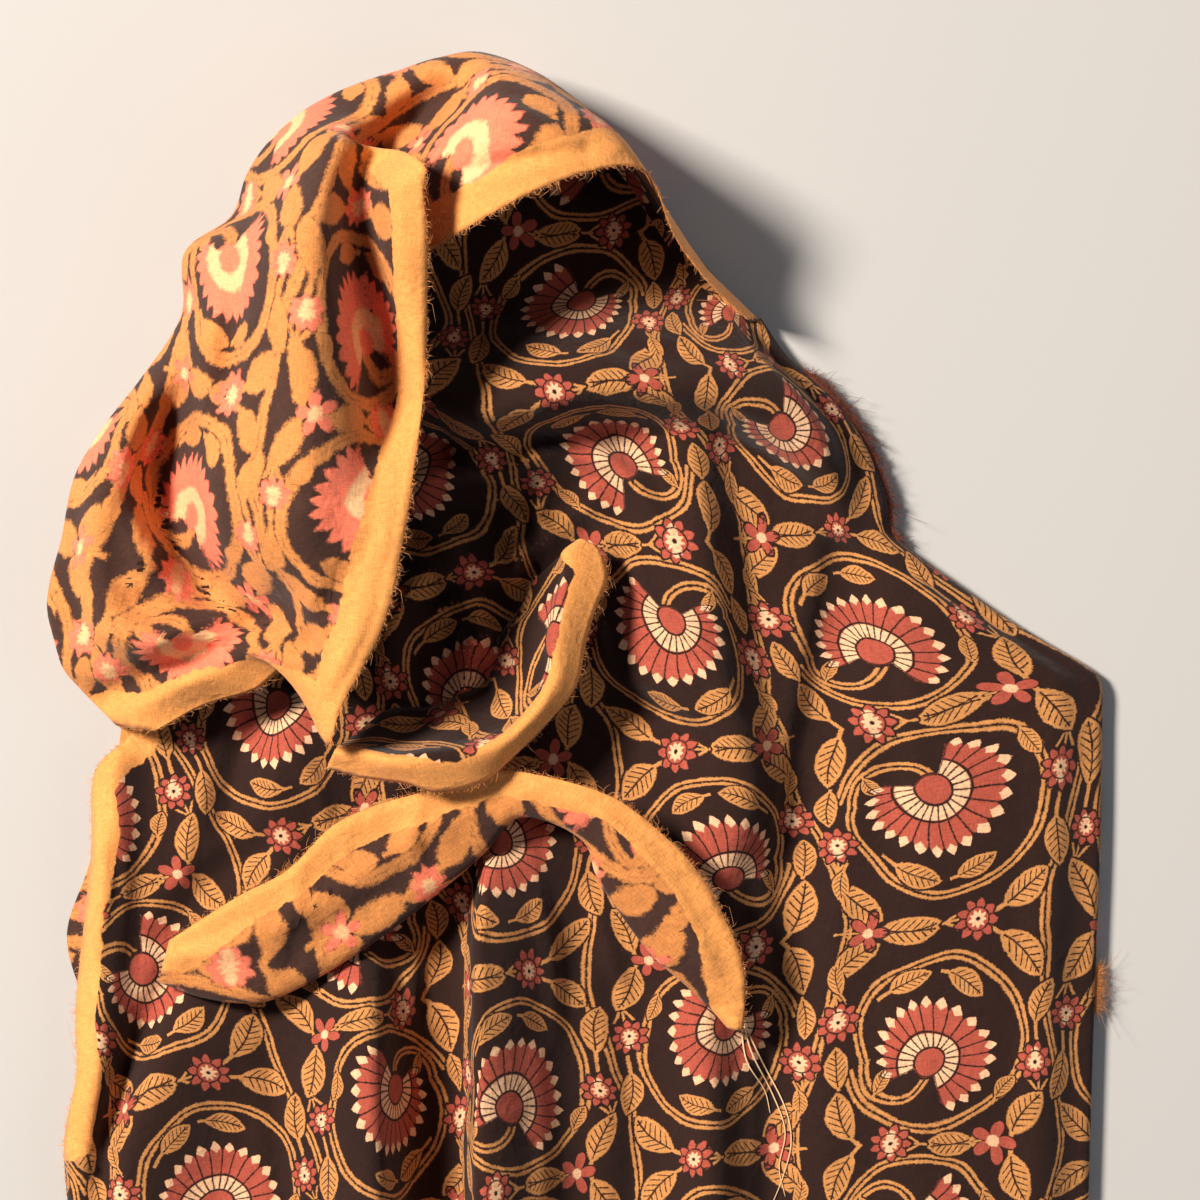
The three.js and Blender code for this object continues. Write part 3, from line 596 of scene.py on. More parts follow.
def placed_like(grid, guess, anchor):
    """A flat grid turned and moved, and turned over if need be, to lie on another."""
    held, aim = grid[anchor].reshape(-1, 2), guess[anchor].reshape(-1, 2)
    middle = held.mean(0)
    u, _, v = np.linalg.svd((held - middle).T @ (aim - aim.mean(0)))
    return (grid - middle) @ u @ v + aim.mean(0)


@functools.lru_cache(maxsize=1)
def cloth_shape():
    """The sheet's middle with its flat coordinates, its free edges and its fold at the right.

    The free edges and the fold are lines of points with their outward directions.
    """
    layers = front_layer()
    front = layers[:, : COLUMNS + 1]
    border = rolled_border(front)
    strips = [cuff(), bowl_lip()]
    points = np.concatenate([g.reshape(-1, 3) for g in (layers, border[:, 1:], *strips)])
    index = np.arange(layers.shape[0] * layers.shape[1]).reshape(layers.shape[:2])
    count = index.size

    u, v = unfolded(front, 1), unfolded(front, 0)
    behind = u[:, -1:] + travelled(layers[:, COLUMNS:], 1)[:, 1:]
    u = np.concatenate([u, behind], axis=1)
    v = np.concatenate([v, np.repeat(v[:, -1:], behind.shape[1], axis=1)], axis=1)
    right_panel = (slice(UPPER_ROWS, None), slice(int(COLUMNS * PANEL_FROM), COLUMNS))
    left_band = slice(UPPER_ROWS, UPPER_ROWS + LEFT_BAND_ROWS)
    parts = [Part(index, np.dstack([u, v]), [(left_band, slice(0, 1))], LEFT_BAND, right_panel)]

    roots = np.concatenate([index[UPPER_ROWS:0:-1, 0], index[0, : COLUMNS + 1]])
    rest = np.arange(count, count + border[:, 1:].size // 3).reshape(len(border), -1)
    count += rest.size
    out = travelled(border[:, ::-1], 1)[:, ::-1]
    middle = border[:, int(BORDER_STEPS * BORDER_MIDDLE)]
    along = np.concatenate([[0], np.cumsum(np.linalg.norm(np.diff(middle, axis=0), axis=1))])
    flat = np.dstack([BORDER_PRINT[0] - out, BORDER_PRINT[1] + np.repeat(along[:, None], out.shape[1], 1)])
    edges = [(slice(None), slice(-1, None)), (slice(0, 1), slice(None))]
    parts.append(Part(np.concatenate([roots[:, None], rest], axis=1), flat, edges))

    for grid, start, band in zip(strips, (CUFF_PRINT, LIP_PRINT), (CUFF_BAND, LIP_BAND)):
        strip_index = np.arange(count, count + grid.size // 3).reshape(grid.shape[:2])
        count += strip_index.size
        run = np.repeat(travelled(grid, 0)[:, :1], grid.shape[1], 1)
        flat = np.dstack([start[0] + run, start[1] - travelled(grid, 1)])
        parts.append(Part(strip_index, flat, [(slice(None), slice(0, 1))], band))

    flatten(points, parts)
    quads = np.concatenate([corners(part.index).reshape(-1, 4) for part in parts])
    flat = np.concatenate([corners(part.flat).reshape(-1, 4, 2) for part in parts])
    edge = np.concatenate([corners(part.edge_distance()).reshape(-1, 4) for part in parts])
    lower_left = front[UPPER_ROWS:]
    lines = [
        (border[:, -1], border[:, -1] - border[:, -3]),
        (border[0, END_EDGE_FROM:], (border[0] - border[2])[END_EDGE_FROM:]),
        (lower_left[:, 0], lower_left[:, 0] - lower_left[:, 2]),
    ]
    lines += [(grid[:, 0], grid[:, 0] - grid[:, 2]) for grid in strips]
    outermost = layers[:, COLUMNS + TURN_STEPS // 2]
    fold = (outermost, outermost - layers[:, COLUMNS - 1])
    return points, quads, flat, edge, lines, fold


def point_normals(points, quads):
    """Directions out of the cloth's face at its points."""
    diagonal = points[quads[:, 2]] - points[quads[:, 0]]
    other = points[quads[:, 3]] - points[quads[:, 1]]
    across = np.cross(diagonal, other)
    normals = np.zeros_like(points)
    for k in range(4):
        np.add.at(normals, quads[:, k], across)
    return unit(normals)


def thick_sheet(points, quads, flat, edge, thickness):
    """Closes the sheet: face side, reverse side and the rim round its edges."""
    normals = point_normals(points, quads)
    count = len(points)
    both = np.concatenate([points + normals * thickness / 2, points - normals * thickness / 2])
    faces = [quads, quads[:, ::-1] + count]
    sides = np.stack([quads, np.roll(quads, -1, axis=1)], axis=2).reshape(-1, 2)
    keys = sides.min(1).astype(np.int64) * count + sides.max(1)
    _, inverse, times = np.unique(keys, return_inverse=True, return_counts=True)
    single = times[inverse] == 1
    a, b = sides[single].T
    rims = np.stack([b, a, a + count, b + count], axis=1)
    place = np.nonzero(single)[0]
    quad, corner = place // 4, place % 4
    following = (corner + 1) % 4
    rim_flat = np.stack([flat[quad, following], flat[quad, corner]], axis=1)
    rim_flat = np.concatenate([rim_flat, rim_flat[:, ::-1]], axis=1)
    rim_edge = np.stack([edge[quad, following], edge[quad, corner]], axis=1)
    rim_edge = np.concatenate([rim_edge, rim_edge[:, ::-1]], axis=1)
    faces.append(rims)
    slots = np.concatenate([np.zeros(len(quads), int), np.ones(len(quads) + len(rims), int)])
    return (
        both,
        np.concatenate(faces),
        np.concatenate([flat, flat[:, ::-1], rim_flat]),
        np.concatenate([edge, edge[:, ::-1], rim_edge]),
        slots,
    )


def to_metres(points):
    """Points of the tables, moved to the middle of the cloth and in metres."""
    return (np.asarray(points) + np.array(CENTRING)) * MM


def surface_area(points, quads):
    """Area of a sheet's four-sided cells."""
    across = np.cross(points[quads[:, 2]] - points[quads[:, 0]], points[quads[:, 3]] - points[quads[:, 1]])
    return np.linalg.norm(across, axis=1).sum() / 2


def mesh_object(name, points, faces, materials):
    """A smooth object from points in the tables' millimetres."""
    mesh = bpy.data.meshes.new(name)
    mesh.from_pydata(to_metres(points).tolist(), [], faces)
    for material in materials:
        mesh.materials.append(material)
    mesh.shade_smooth()
    piece = bpy.data.objects.new(name, mesh)
    bpy.context.scene.collection.objects.link(piece)
    return piece


def add_uv(mesh, name, values):
    """Adds a UV map with a value for each corner of each face."""
    layer = mesh.uv_layers.new(name=name)
    layer.data.foreach_set("uv", np.ascontiguousarray(values, dtype=np.float32).ravel())


# Shader numbers


def feed(tree, socket, value):
    """Links a number, a colour or a place to a socket, or gives the socket a fixed value."""
    if isinstance(value, (Number, Spot)):
        tree.links.new(value.socket, socket)
    else:
        socket.default_value = value


def add_node(tree, kind, inputs, **settings):
    """A shader node with its settings, and then its inputs by their names or numbers."""
    node = tree.nodes.new("ShaderNode" + kind)
    for name, value in settings.items():
        setattr(node, name, value)
    for key, value in inputs.items():
        feed(tree, node.inputs[key], value)
    return node


class Number:
    """A number that changes over the surface; sums and products of it become Math nodes."""

    def __init__(self, tree, socket):
        self.tree, self.socket = tree, socket

    def math(self, operation, *others, clamp=False):
        inputs = dict(enumerate((self, *others)))
        node = add_node(self.tree, "Math", inputs, operation=operation, use_clamp=clamp)
        return Number(self.tree, node.outputs[0])

    def __add__(self, other):
        return self.math("ADD", other)

    def __sub__(self, other):
        return self.math("SUBTRACT", other)

    def __mul__(self, other):
        return self.math("MULTIPLY", other)

    def __truediv__(self, other):
        return self.math("DIVIDE", other)

    def size(self):
        return self.math("ABSOLUTE")

    def times_plus(self, factor, extra):
        return self.math("MULTIPLY_ADD", factor, extra)

    def lower(self, other):
        return self.math("MINIMUM", other)

    def higher(self, other):
        return self.math("MAXIMUM", other)

    def inside(self, softness):
        """1 where the number is below zero, with a soft edge."""
        return self.math("MULTIPLY_ADD", -1.0 / softness, 0.5, clamp=True)


class Spot:
    """A place on the flat cloth."""

    def __init__(self, tree, socket):
        self.tree, self.socket = tree, socket

    def length(self):
        node = add_node(self.tree, "VectorMath", {0: self}, operation="LENGTH")
        return Number(self.tree, node.outputs["Value"])

    def parts(self):
        node = add_node(self.tree, "SeparateXYZ", {0: self})
        return Number(self.tree, node.outputs[0]), Number(self.tree, node.outputs[1])

    def seen_from(self, x, y, turn=0.0, scale=1.0):
        """The place in the frame of a motif at x, y, turned by so many degrees."""
        inputs = {
            "Vector": self,
            "Location": (x, y, 0),
            "Rotation": (0, 0, math.radians(turn)),
            "Scale": (scale, scale, 1),
        }
        node = add_node(self.tree, "Mapping", inputs, vector_type="TEXTURE")
        return Spot(self.tree, node.outputs[0])

    def nearest_of(self, places):
        """The place in the frame of the nearest of several like motifs."""
        best = self.seen_from(*places[0])
        least = best.length()
        for place in places[1:]:
            other = self.seen_from(*place)
            length = other.length()
            closer = length.math("LESS_THAN", least)
            best = Spot(self.tree, mixed(self.tree, closer, best, other, "VECTOR").socket)
            least = least.lower(length)
        return best


def spot_of(tree, x, y):
    """The place that has two numbers as its coordinates."""
    return Spot(tree, add_node(tree, "CombineXYZ", {0: x, 1: y}).outputs[0])


def noise(tree, place, scale, detail=2.0, roughness=0.5, output="Fac"):
    """Uneven patches from 0 to 1, so many of them to a unit of length."""
    inputs = {"Vector": place, "Scale": scale, "Detail": detail, "Roughness": roughness}
    return Number(tree, add_node(tree, "TexNoise", inputs, noise_dimensions="2D").outputs[output])


def mixed(tree, factor, first, second, kind="RGBA"):
    """Colour between two others, or with VECTOR for its kind a place between two others."""
    node = add_node(tree, "Mix", {"Factor": factor}, data_type=kind)
    for name, value in (("A", first), ("B", second)):
        feed(tree, next(i for i in node.inputs if i.name == name and i.type == kind), value)
    return Number(tree, next(o for o in node.outputs if o.type == kind))


def shade(tree, colour, value):
    """Colour made lighter or darker by a number round 1."""
    return Number(tree, add_node(tree, "HueSaturation", {"Value": value, "Color": colour}).outputs[0])


def uv_spot(tree, name):
    """Place on a UV map, in millimetres."""
    place = Spot(tree, add_node(tree, "UVMap", {}, uv_map=name).outputs[0])
    node = add_node(tree, "VectorMath", {0: place, "Scale": 1 / MM}, operation="SCALE")
    return Spot(tree, node.outputs[0])


# Print

CELL_WIDTH = 75.0  # one block of the print
CELL_HEIGHT = 72.0
PRINT_START = (80.5, -150.0)  # a corner between blocks on the flat cloth
WANDER = (0.035, 1.0)  # scale and detail of the noise that bends the print a little
WANDER_REACH = (6.0, 6.0, 0.0)
LEAF_MARGIN = 0.8  # dark ground left round the leaves and the flowers
FLOWER_MARGIN = 0.9

# Places of the motifs in a block: X, Y, turn in degrees and scale, where they aren't 0 and 1.
EYE = (-3.0, -9.0, -22.0)  # the large flower
SCROLL = (0.0, -1.5)  # middle of the scroll that winds in round it
LEAVES = [
    (-27, 27, 40), (25, 27, -40), (-29.5, -25.5, 112), (30.5, -25, 62), (-11, 36, 0),
    (8, -36, 180, 0.9), (32.5, 12, 78, 0.9), (-9, 18.5, 24, 0.8), (9, 17.5, -28, 0.75),
    (23, -17, 58, 0.55), (-33, -9, 98, 0.8), (-19, -14, 60, 0.5), (-32, 21, 100, 0.6),
]
ROUND_FLOWERS = [(-31.5, 6), (9, 36), (-13, -36), (32, -8, 0, 0.85)]
SPRIGS = [(22, -36), (-24, 36)]
TWIGS = [
    (1, 36, -90, 0.8), (-5, -36, 90, 0.8), (34, -16.5, 8, 0.8), (15, -36, -90, 0.7), (-31, 36, -90, 0.8),
    (-32, 14.5, 185, 0.7),
]

# Vine: the scroll goes once round from its outer to its inner radius.
SCROLL_OUTER = 30.5
SCROLL_INNER = 25.2
SCROLL_SEAM = -1.87  # angle at which the outer end goes over into the inner end
HOOK = (-13.5, -10.0)  # middle of the hook between scroll and flower
HOOK_RADIUS = 11.0
HOOK_TOP = -9.0
VINE_SWING = -6.5  # how far the wave between the blocks swings out
LINES_APART = 0.95  # half the distance of the vine's two lines
LINE_HALF_WIDTH = 0.55

# Leaf, along X with its stem at the left.
LEAF_BEND = 0.014
SIDE_CENTRE = 6.5  # of the arc of each side, from the midrib
SIDE_RADIUS = 11.1
STEM_MIDDLE = -11.0
STEM_REACH = 4.0  # half its length
STEM_HALF_WIDTH = 0.7
RIB_HALF_WIDTH = 0.32
VEINS_TO_MM = 0.42
VEIN_SLANT = -0.36
VEIN_SPACING = 2.3
VEIN_HALF_WIDTH = 0.26
LEAF_RIM = 0.9  # left plain round the veins

# Round flower.
ROUND_PETALS = 9.0
ROUND_RADIUS = 5.9
ROUND_SCALLOP = 0.9
HEART_RADIUS = 2.4
HEART_SCALLOP = 0.5
DOT = (0.0, 3.4)  # a second pale spot
DOT_RADIUS = 1.5
RING_RADIUS = 3.7
RING_HALF_WIDTH = 0.26
GAP_DEPTH = 0.9
GAP_HALF_WIDTH = 0.2
PISTIL_RADIUS = 0.7

# Sprig.
SPRIG_PETALS = 5
SPRIG_REACH = 5.2
SPRIG_CORE = 1.6
SPRIG_HEART = 1.7

# Large flower, with angles in radians from its middle.
FAN_PETALS = 18
FAN_SPREAD = 2.3  # to each side
FAN_REACH = (-0.75, 0.9, 22.0)  # length of a petal: by the square of its angle, by its angle, and fixed
FAN_SIDE_SLOPE = 8.0
FAN_TIP = (6.0, 4.0)  # how pointed a petal is
EYE_RADIUS = 5.2
PALE_TIP = 3.8
PALE_TIP_SLANT = 4.6
SMALL_MIDDLE = 7.8  # ring of small pale petals
SMALL_HALF_WIDTH = 2.5
FAN_RING = 10.8
FAN_GAP_HALF_WIDTH = 0.27
FAN_LINE_HALF_WIDTH = 0.4

# Twig, along Y.
TWIG_REACH = 5.2
TWIG_HALF_WIDTH = 0.5
SHOOT_SLANT = 0.62
SHOOT_START = 1.4
SHOOT_SLIMNESS = 0.85
SHOOT_MIDDLE = 0.6
SHOOT_REACH = 2.8


def block_place(tree, place):
    """Place inside one block, turned over from block to block as the printer turns them."""
    u, v = place.parts()

    def split(value, start, size):
        number = ((value - start) / size).math("FLOOR")
        return number, value - number.times_plus(size, start + size / 2)

    column, x = split(u, PRINT_START[0], CELL_WIDTH)
    row, y = split(v, PRINT_START[1], CELL_HEIGHT)
    turned_x = column.math("FLOORED_MODULO", 2.0).times_plus(-2.0, 1.0)
    turned_y = (column + row).math("FLOORED_MODULO", 2.0).times_plus(-2.0, 1.0)
    return x * turned_x, y * turned_y


def leaf(spot):
    """A pointed leaf on a short stem: its outline, and the veins left dark in it."""
    x, y = spot.parts()
    off = (x * x).times_plus(LEAF_BEND, y).size()
    blade = spot_of(spot.tree, x, off + SIDE_CENTRE).length() - SIDE_RADIUS
    stem = (off - STEM_HALF_WIDTH).higher((x - STEM_MIDDLE).size() - STEM_REACH)
    rib = off - RIB_HALF_WIDTH
    vein = (x.times_plus(VEINS_TO_MM, off * VEIN_SLANT).math("FRACT") - 0.5).size() * VEIN_SPACING
    ink = rib.lower(vein - VEIN_HALF_WIDTH).higher(blade + LEAF_RIM)
    return blade, stem, ink


def round_flower(spot):
    """A small scalloped flower: petals, pale heart and the dark lines between."""
    x, y = spot.parts()
    radius = spot.length()
    wave = (y.math("ARCTAN2", x) * ROUND_PETALS).math("COSINE")
    petals = radius - wave.times_plus(ROUND_SCALLOP, ROUND_RADIUS)
    heart = radius - wave.times_plus(HEART_SCALLOP, HEART_RADIUS)
    heart = heart.lower(spot.seen_from(*DOT).length() - DOT_RADIUS)
    ring = (radius - RING_RADIUS).size() - RING_HALF_WIDTH
    gap = (wave + 1.0) * GAP_DEPTH - GAP_HALF_WIDTH
    ink = ring.lower(gap.higher(radius * -1.0 + RING_RADIUS)).lower(radius - PISTIL_RADIUS)
    return petals, heart, ink


def sprig(spot):
    """Five narrow petals round a pale dot."""
    x, y = spot.parts()
    radius = spot.length()
    wave = (y.math("ARCTAN2", x) * (SPRIG_PETALS / 2)).math("COSINE").size()
    return radius - wave.times_plus(SPRIG_REACH, SPRIG_CORE), radius - SPRIG_HEART


def fan(spot):
    """The large flower: long petals spread round an eye, with a ring of small pale ones."""
    x, y = spot.parts()
    radius = spot.length()
    angle = x.math("ARCTAN2", y)
    step = 2 * FAN_SPREAD / FAN_PETALS
    across = ((angle / step).math("FRACT") - 0.5).size()
    reach = (angle * angle).times_plus(FAN_REACH[0], angle.times_plus(FAN_REACH[1], FAN_REACH[2]))
    side = (angle.size() - FAN_SPREAD) * FAN_SIDE_SLOPE
    point = across * across.times_plus(*FAN_TIP)
    shape = (radius - reach + point).higher(side).lower(radius - EYE_RADIUS)
    tips = shape.higher((reach - PALE_TIP) - radius + across * PALE_TIP_SLANT)
    small = ((radius - SMALL_MIDDLE).size() - SMALL_HALF_WIDTH).higher(side)
    gap = (across * -1.0 + 0.5) * radius * step - FAN_GAP_HALF_WIDTH
    ring = (radius - FAN_RING).size() - FAN_LINE_HALF_WIDTH
    eye = (radius - EYE_RADIUS).size() - FAN_LINE_HALF_WIDTH
    ink = gap.higher(radius * -1.0 + EYE_RADIUS).lower(ring).lower(eye)
    return shape, small, tips, ink


def twig(spot):
    """A short stalk with two side shoots."""
    x, y = spot.parts()
    off = x.size()
    stalk = off.higher(y.size() - TWIG_REACH) - TWIG_HALF_WIDTH
    shoot = (off - y.times_plus(SHOOT_SLANT, SHOOT_START)).size() * SHOOT_SLIMNESS
    shoot = shoot.higher((y - SHOOT_MIDDLE).size() - SHOOT_REACH)
    return stalk.lower(shoot - TWIG_HALF_WIDTH)


def scrolls(spot, x, y):
    """Doubled lines of the vine: a scroll that winds in to each fan and a wave between the blocks."""
    about = spot.seen_from(*SCROLL)
    across, up = about.parts()
    turn = (across.math("ARCTAN2", up) * -1.0 + SCROLL_SEAM).math("FLOORED_MODULO", 2 * math.pi)
    arm = turn.times_plus((SCROLL_INNER - SCROLL_OUTER) / (2 * math.pi), SCROLL_OUTER)
    ring = (about.length() - arm).size()
    wave = (y * (math.pi / CELL_HEIGHT)).math("SINE").times_plus(VINE_SWING, CELL_WIDTH / 2)
    vine = (x.size() - wave).size()
    hook = (spot.seen_from(*HOOK).length() - HOOK_RADIUS).size().higher(y - HOOK_TOP)
    line = ring.lower(vine).lower(hook)
    return (line - LINES_APART).size() - LINE_HALF_WIDTH


def new_group(name, outputs):
    """A node group from a place to numbers, with nothing in it yet: its tree, its place and its end."""
    tree = bpy.data.node_groups.new(name, "ShaderNodeTree")
    tree.interface.new_socket("Place", in_out="INPUT", socket_type="NodeSocketVector")
    for output in outputs:
        tree.interface.new_socket(output, in_out="OUTPUT", socket_type="NodeSocketFloat")
    start = tree.nodes.new("NodeGroupInput")
    return tree, Spot(tree, start.outputs[0]), tree.nodes.new("NodeGroupOutput")


def print_group():
    """Signed distances in millimetres to the print's shapes, at a place on the flat cloth."""
    outputs = ("Vine", "Petals", "Pale", "Tips", "Ink")
    tree, place, end = new_group("Block print", outputs)
    wander = noise(tree, place, *WANDER, output="Color")
    shift = add_node(tree, "VectorMath", {0: wander, 1: WANDER_REACH, 2: place}, operation="MULTIPLY_ADD")
    x, y = block_place(tree, Spot(tree, shift.outputs[0]))
    spot = spot_of(tree, x, y)

    blade, stem, leaf_ink = leaf(spot.nearest_of(LEAVES))
    petals, heart, flower_ink = round_flower(spot.nearest_of(ROUND_FLOWERS))
    sprig_petals, sprig_heart = sprig(spot.nearest_of(SPRIGS))
    fan_shape, fan_small, fan_tips, fan_ink = fan(spot.seen_from(*EYE))
    lines = scrolls(spot, x, y).lower(twig(spot.nearest_of(TWIGS))).higher(blade * -1.0 + LEAF_MARGIN)
    flowers = petals.lower(sprig_petals).lower(fan_shape)
    vine = blade.lower(lines.lower(stem)).higher(flowers * -1.0 + FLOWER_MARGIN)
    pale = heart.lower(sprig_heart).lower(fan_small)
    ink = leaf_ink.lower(flower_ink.higher(petals)).lower(fan_ink.higher(fan_shape))
    for name, value in zip(outputs, (vine, flowers, pale, fan_tips, ink)):
        feed(tree, end.inputs[name], value)


# Cotton. A noise is its scale to a millimetre, its detail and its roughness.

THREAD_PITCH = 0.7
STREAK = (0.25, 3.0)  # how the noise of the threads is drawn out: along a thread and across it
CRINKLES = (0.22, 3.0, 0.6)
WRINKLES = (0.055, 3.0, 0.55)
WEAVE_RISE = 0.05  # what the weave and each noise add to the height
CRINKLE_RISE = 1.1
STREAK_RISE = 0.12
WRINKLE_RISE = -4.0
BUMP_STRENGTH = 0.6
BUMP_DISTANCE = 0.5

PATCHES = (0.03, 3.0, 0.6)
BLOTS = (0.35, 3.0, 0.7)
SPECKS = (1.3, 2.0, 0.6)
EDGE_NOISE = {"face": (0.9, 0.8, 0.45), "reverse": (1.6, 3.2, 0.8)}  # specks, blots and what is taken off
SPREADS = {  # vine, petals and pale dye: spread past the motif, and softness of the edge
    "face": [(0.0, 0.4), (0.0, 0.4), (0.0, 0.4)],
    "reverse": [(0.8, 1.3), (0.6, 1.5), (0.5, 1.6)],
}
INK_NOISE = 0.5
INK_SOFTNESS = 0.35
BAND_NOISE = (0.25, 2.0)  # fine and broad noise of the plain band's edge, with their reaches
BAND_NOISE_REACH = 3.0
BAND_WANDER = (0.02, 1.0)
BAND_WANDER_REACH = 11.0
BAND_INSET = 7.0
BAND_SOFTNESS = 0.6
LIGHTNESS = 0.1  # the least of it, then what patches, threads and specks add
PATCH_LIGHTNESS = 0.35
THREAD_LIGHTNESS = 1.1
SPECK_LIGHTNESS = 0.35

COTTON_FINISH = {"Roughness": 0.88, "Specular IOR Level": 0.2, "Sheen Weight": 0.12, "Sheen Roughness": 0.5}
THREAD_FINISH = {"Roughness": 0.8, "Sheen Weight": 0.2}
FLOOR_FINISH = {"Roughness": 0.9}
STRAND_NOISE = (90.0, 2.0)  # changes of colour to a metre, and their detail
STRAND_LIGHTNESS = (0.6, 0.75)


def weave_group():
    """Height of the weave and of small crinkles, and a thread-by-thread unevenness of colour."""
    tree, place, end = new_group("Cotton weave", ("Height", "Thread"))
    x, y = place.parts()
    thread = 2 * math.pi / THREAD_PITCH
    weave = (x * thread).math("SINE") * (y * thread).math("SINE")
    along, off = STREAK
    across = noise(tree, spot_of(tree, x * along, y * off), 1.0, 1.0)
    upright = noise(tree, spot_of(tree, x * off, y * along), 1.0, 1.0)
    streaks = across + upright
    crinkle = noise(tree, place, *CRINKLES)
    wrinkle = (noise(tree, place, *WRINKLES) - 0.5).size()
    height = weave.times_plus(WEAVE_RISE, crinkle.times_plus(CRINKLE_RISE, streaks * STREAK_RISE))
    feed(tree, end.inputs["Height"], wrinkle.times_plus(WRINKLE_RISE, height))
    feed(tree, end.inputs["Thread"], streaks * 0.5)


def place_group(tree, name, spot):
    """The outputs of a node group at a place."""
    node = add_node(tree, "Group", {"Place": spot}, node_tree=bpy.data.node_groups[name])
    return {output.name: Number(tree, output) for output in node.outputs}


def new_material(name, finish):
    """A material with its finish set: itself, its tree and its shader."""
    material = bpy.data.materials.new(name)
    material.use_nodes = True
    shader = material.node_tree.nodes["Principled BSDF"]
    for key, value in finish.items():
        shader.inputs[key].default_value = value
    return material, material.node_tree, shader


def cotton_material(name, settings, side):
    """Printed cotton: its face, or the reverse with the dye that came through."""
    material, tree, shader = new_material(name, COTTON_FINISH)
    flat = uv_spot(tree, "Flat")
    edge, _ = uv_spot(tree, "Edge").parts()
    printed = place_group(tree, "Block print", flat)
    weave = place_group(tree, "Cotton weave", flat)
    patches = noise(tree, flat, *PATCHES)
    blot = noise(tree, flat, *BLOTS) - 0.5
    speck = noise(tree, flat, *SPECKS)

    specks, blots, less = EDGE_NOISE[side]
    blur = speck.times_plus(specks, blot * blots - less)
    if side == "face":
        colour = settings.ground
        pale = printed["Pale"].lower(printed["Tips"])
        dyes = (settings.vine, settings.petal, settings.pale)
    else:
        colour = settings.island
        pale = printed["Pale"]
        dyes = (settings.reverse, settings.reverse_petal, settings.reverse_pale)
    shapes = (printed["Vine"], printed["Petals"], pale)
    for shape, dye, (spread, softness) in zip(shapes, dyes, SPREADS[side]):
        colour = mixed(tree, (shape + blur - spread).inside(softness), colour, dye)
    if side == "face":
        ink = (printed["Ink"] + blur * INK_NOISE).inside(INK_SOFTNESS)
        colour = mixed(tree, ink, colour, settings.ground)

    wander = noise(tree, flat, *BAND_WANDER) * BAND_WANDER_REACH - BAND_INSET
    ragged = noise(tree, flat, *BAND_NOISE).times_plus(BAND_NOISE_REACH, wander)
    band = (edge + ragged - settings.band_width / MM).inside(BAND_SOFTNESS)
    colour = mixed(tree, band, colour, settings.selvedge)
    uneven = weave["Thread"].times_plus(THREAD_LIGHTNESS, speck.times_plus(SPECK_LIGHTNESS, LIGHTNESS))
    colour = shade(tree, colour, patches.times_plus(PATCH_LIGHTNESS, uneven))
    feed(tree, shader.inputs["Base Color"], colour)

    inputs = {"Distance": BUMP_DISTANCE * MM, "Strength": BUMP_STRENGTH, "Height": weave["Height"]}
    tree.links.new(add_node(tree, "Bump", inputs).outputs[0], shader.inputs["Normal"])
    return material


def thread_material(name, base):
    """Loose ends of thread, uneven in colour."""
    material, tree, shader = new_material(name, THREAD_FINISH)
    place = Spot(tree, add_node(tree, "TexCoord", {}).outputs["Object"])
    change = noise(tree, place, *STRAND_NOISE)
    feed(tree, shader.inputs["Base Color"], shade(tree, base, change.times_plus(*STRAND_LIGHTNESS)))
    return material


# Threads

FRAY_DENSITY = 4.5  # loose ends to a millimetre of edge
FRAY_RADIUS = 0.1
# The dark fuzz on the turned fold is coloured as painted shade: a darkened copy of the reverse's dye that
# stands in for the shaded back of the fold.
FUZZ_DENSITY = 40.0
FUZZ_RADIUS = 0.16
TUFT_DENSITY = 110.0
FUZZ_REACH = (50, 108)  # where on the turned fold the dark fuzz (its colour painted shade) and the golden tuft sit, by Y
TUFT_REACH = (-110, -92)
STRAND_LEAST_HEIGHT = 0.3
STRAND_SIDES = 3
STRAND_TIP = 0.35  # its thickness against that of the root
STEEP = 0.8  # slope from which a strand's sides are set out from X and not from Z
END_LEAST = 0.35  # least length of a loose end against the usual one, and what is added on average
END_SPREAD = 0.45
LEAN_SPREAD = 0.7
RISE_SPREAD = 0.45
CURL_SPREAD = 0.5
END_ROOT = 0.4  # how far inside the edge a loose end starts
MIDDLE_PLACE = 0.6  # middle of a loose end: its share of the length, its lean and its rise
MIDDLE_LEAN = 0.4
MIDDLE_RISE = 0.5
TIP_PLACE = 0.9  # tip of a loose end: how far out it is, its lean and how much the curl lifts it
TIP_LEAN = 0.8
TIP_CURL = 0.3
LOOSE_RADIUS = 0.38
LOOSE_LIFT = 0.8
LOOSE_POINTS = 40
LOOSE_START = 4  # points of a loose thread that come down from the cuff
LOOSE_THREADS = [
    [(55, -112, 22), (58, -122, 17), (65, -136, 14), (69, -148, 13), (67, -160, 13), (69, -170, 13)],
    [(55, -111, 22), (61, -124, 16), (69, -140, 13), (71, -152, 12), (68, -164, 12), (64, -174, 13)],
    [(54, -112, 21), (56, -124, 17), (62, -134, 14), (64, -142, 14)],
]


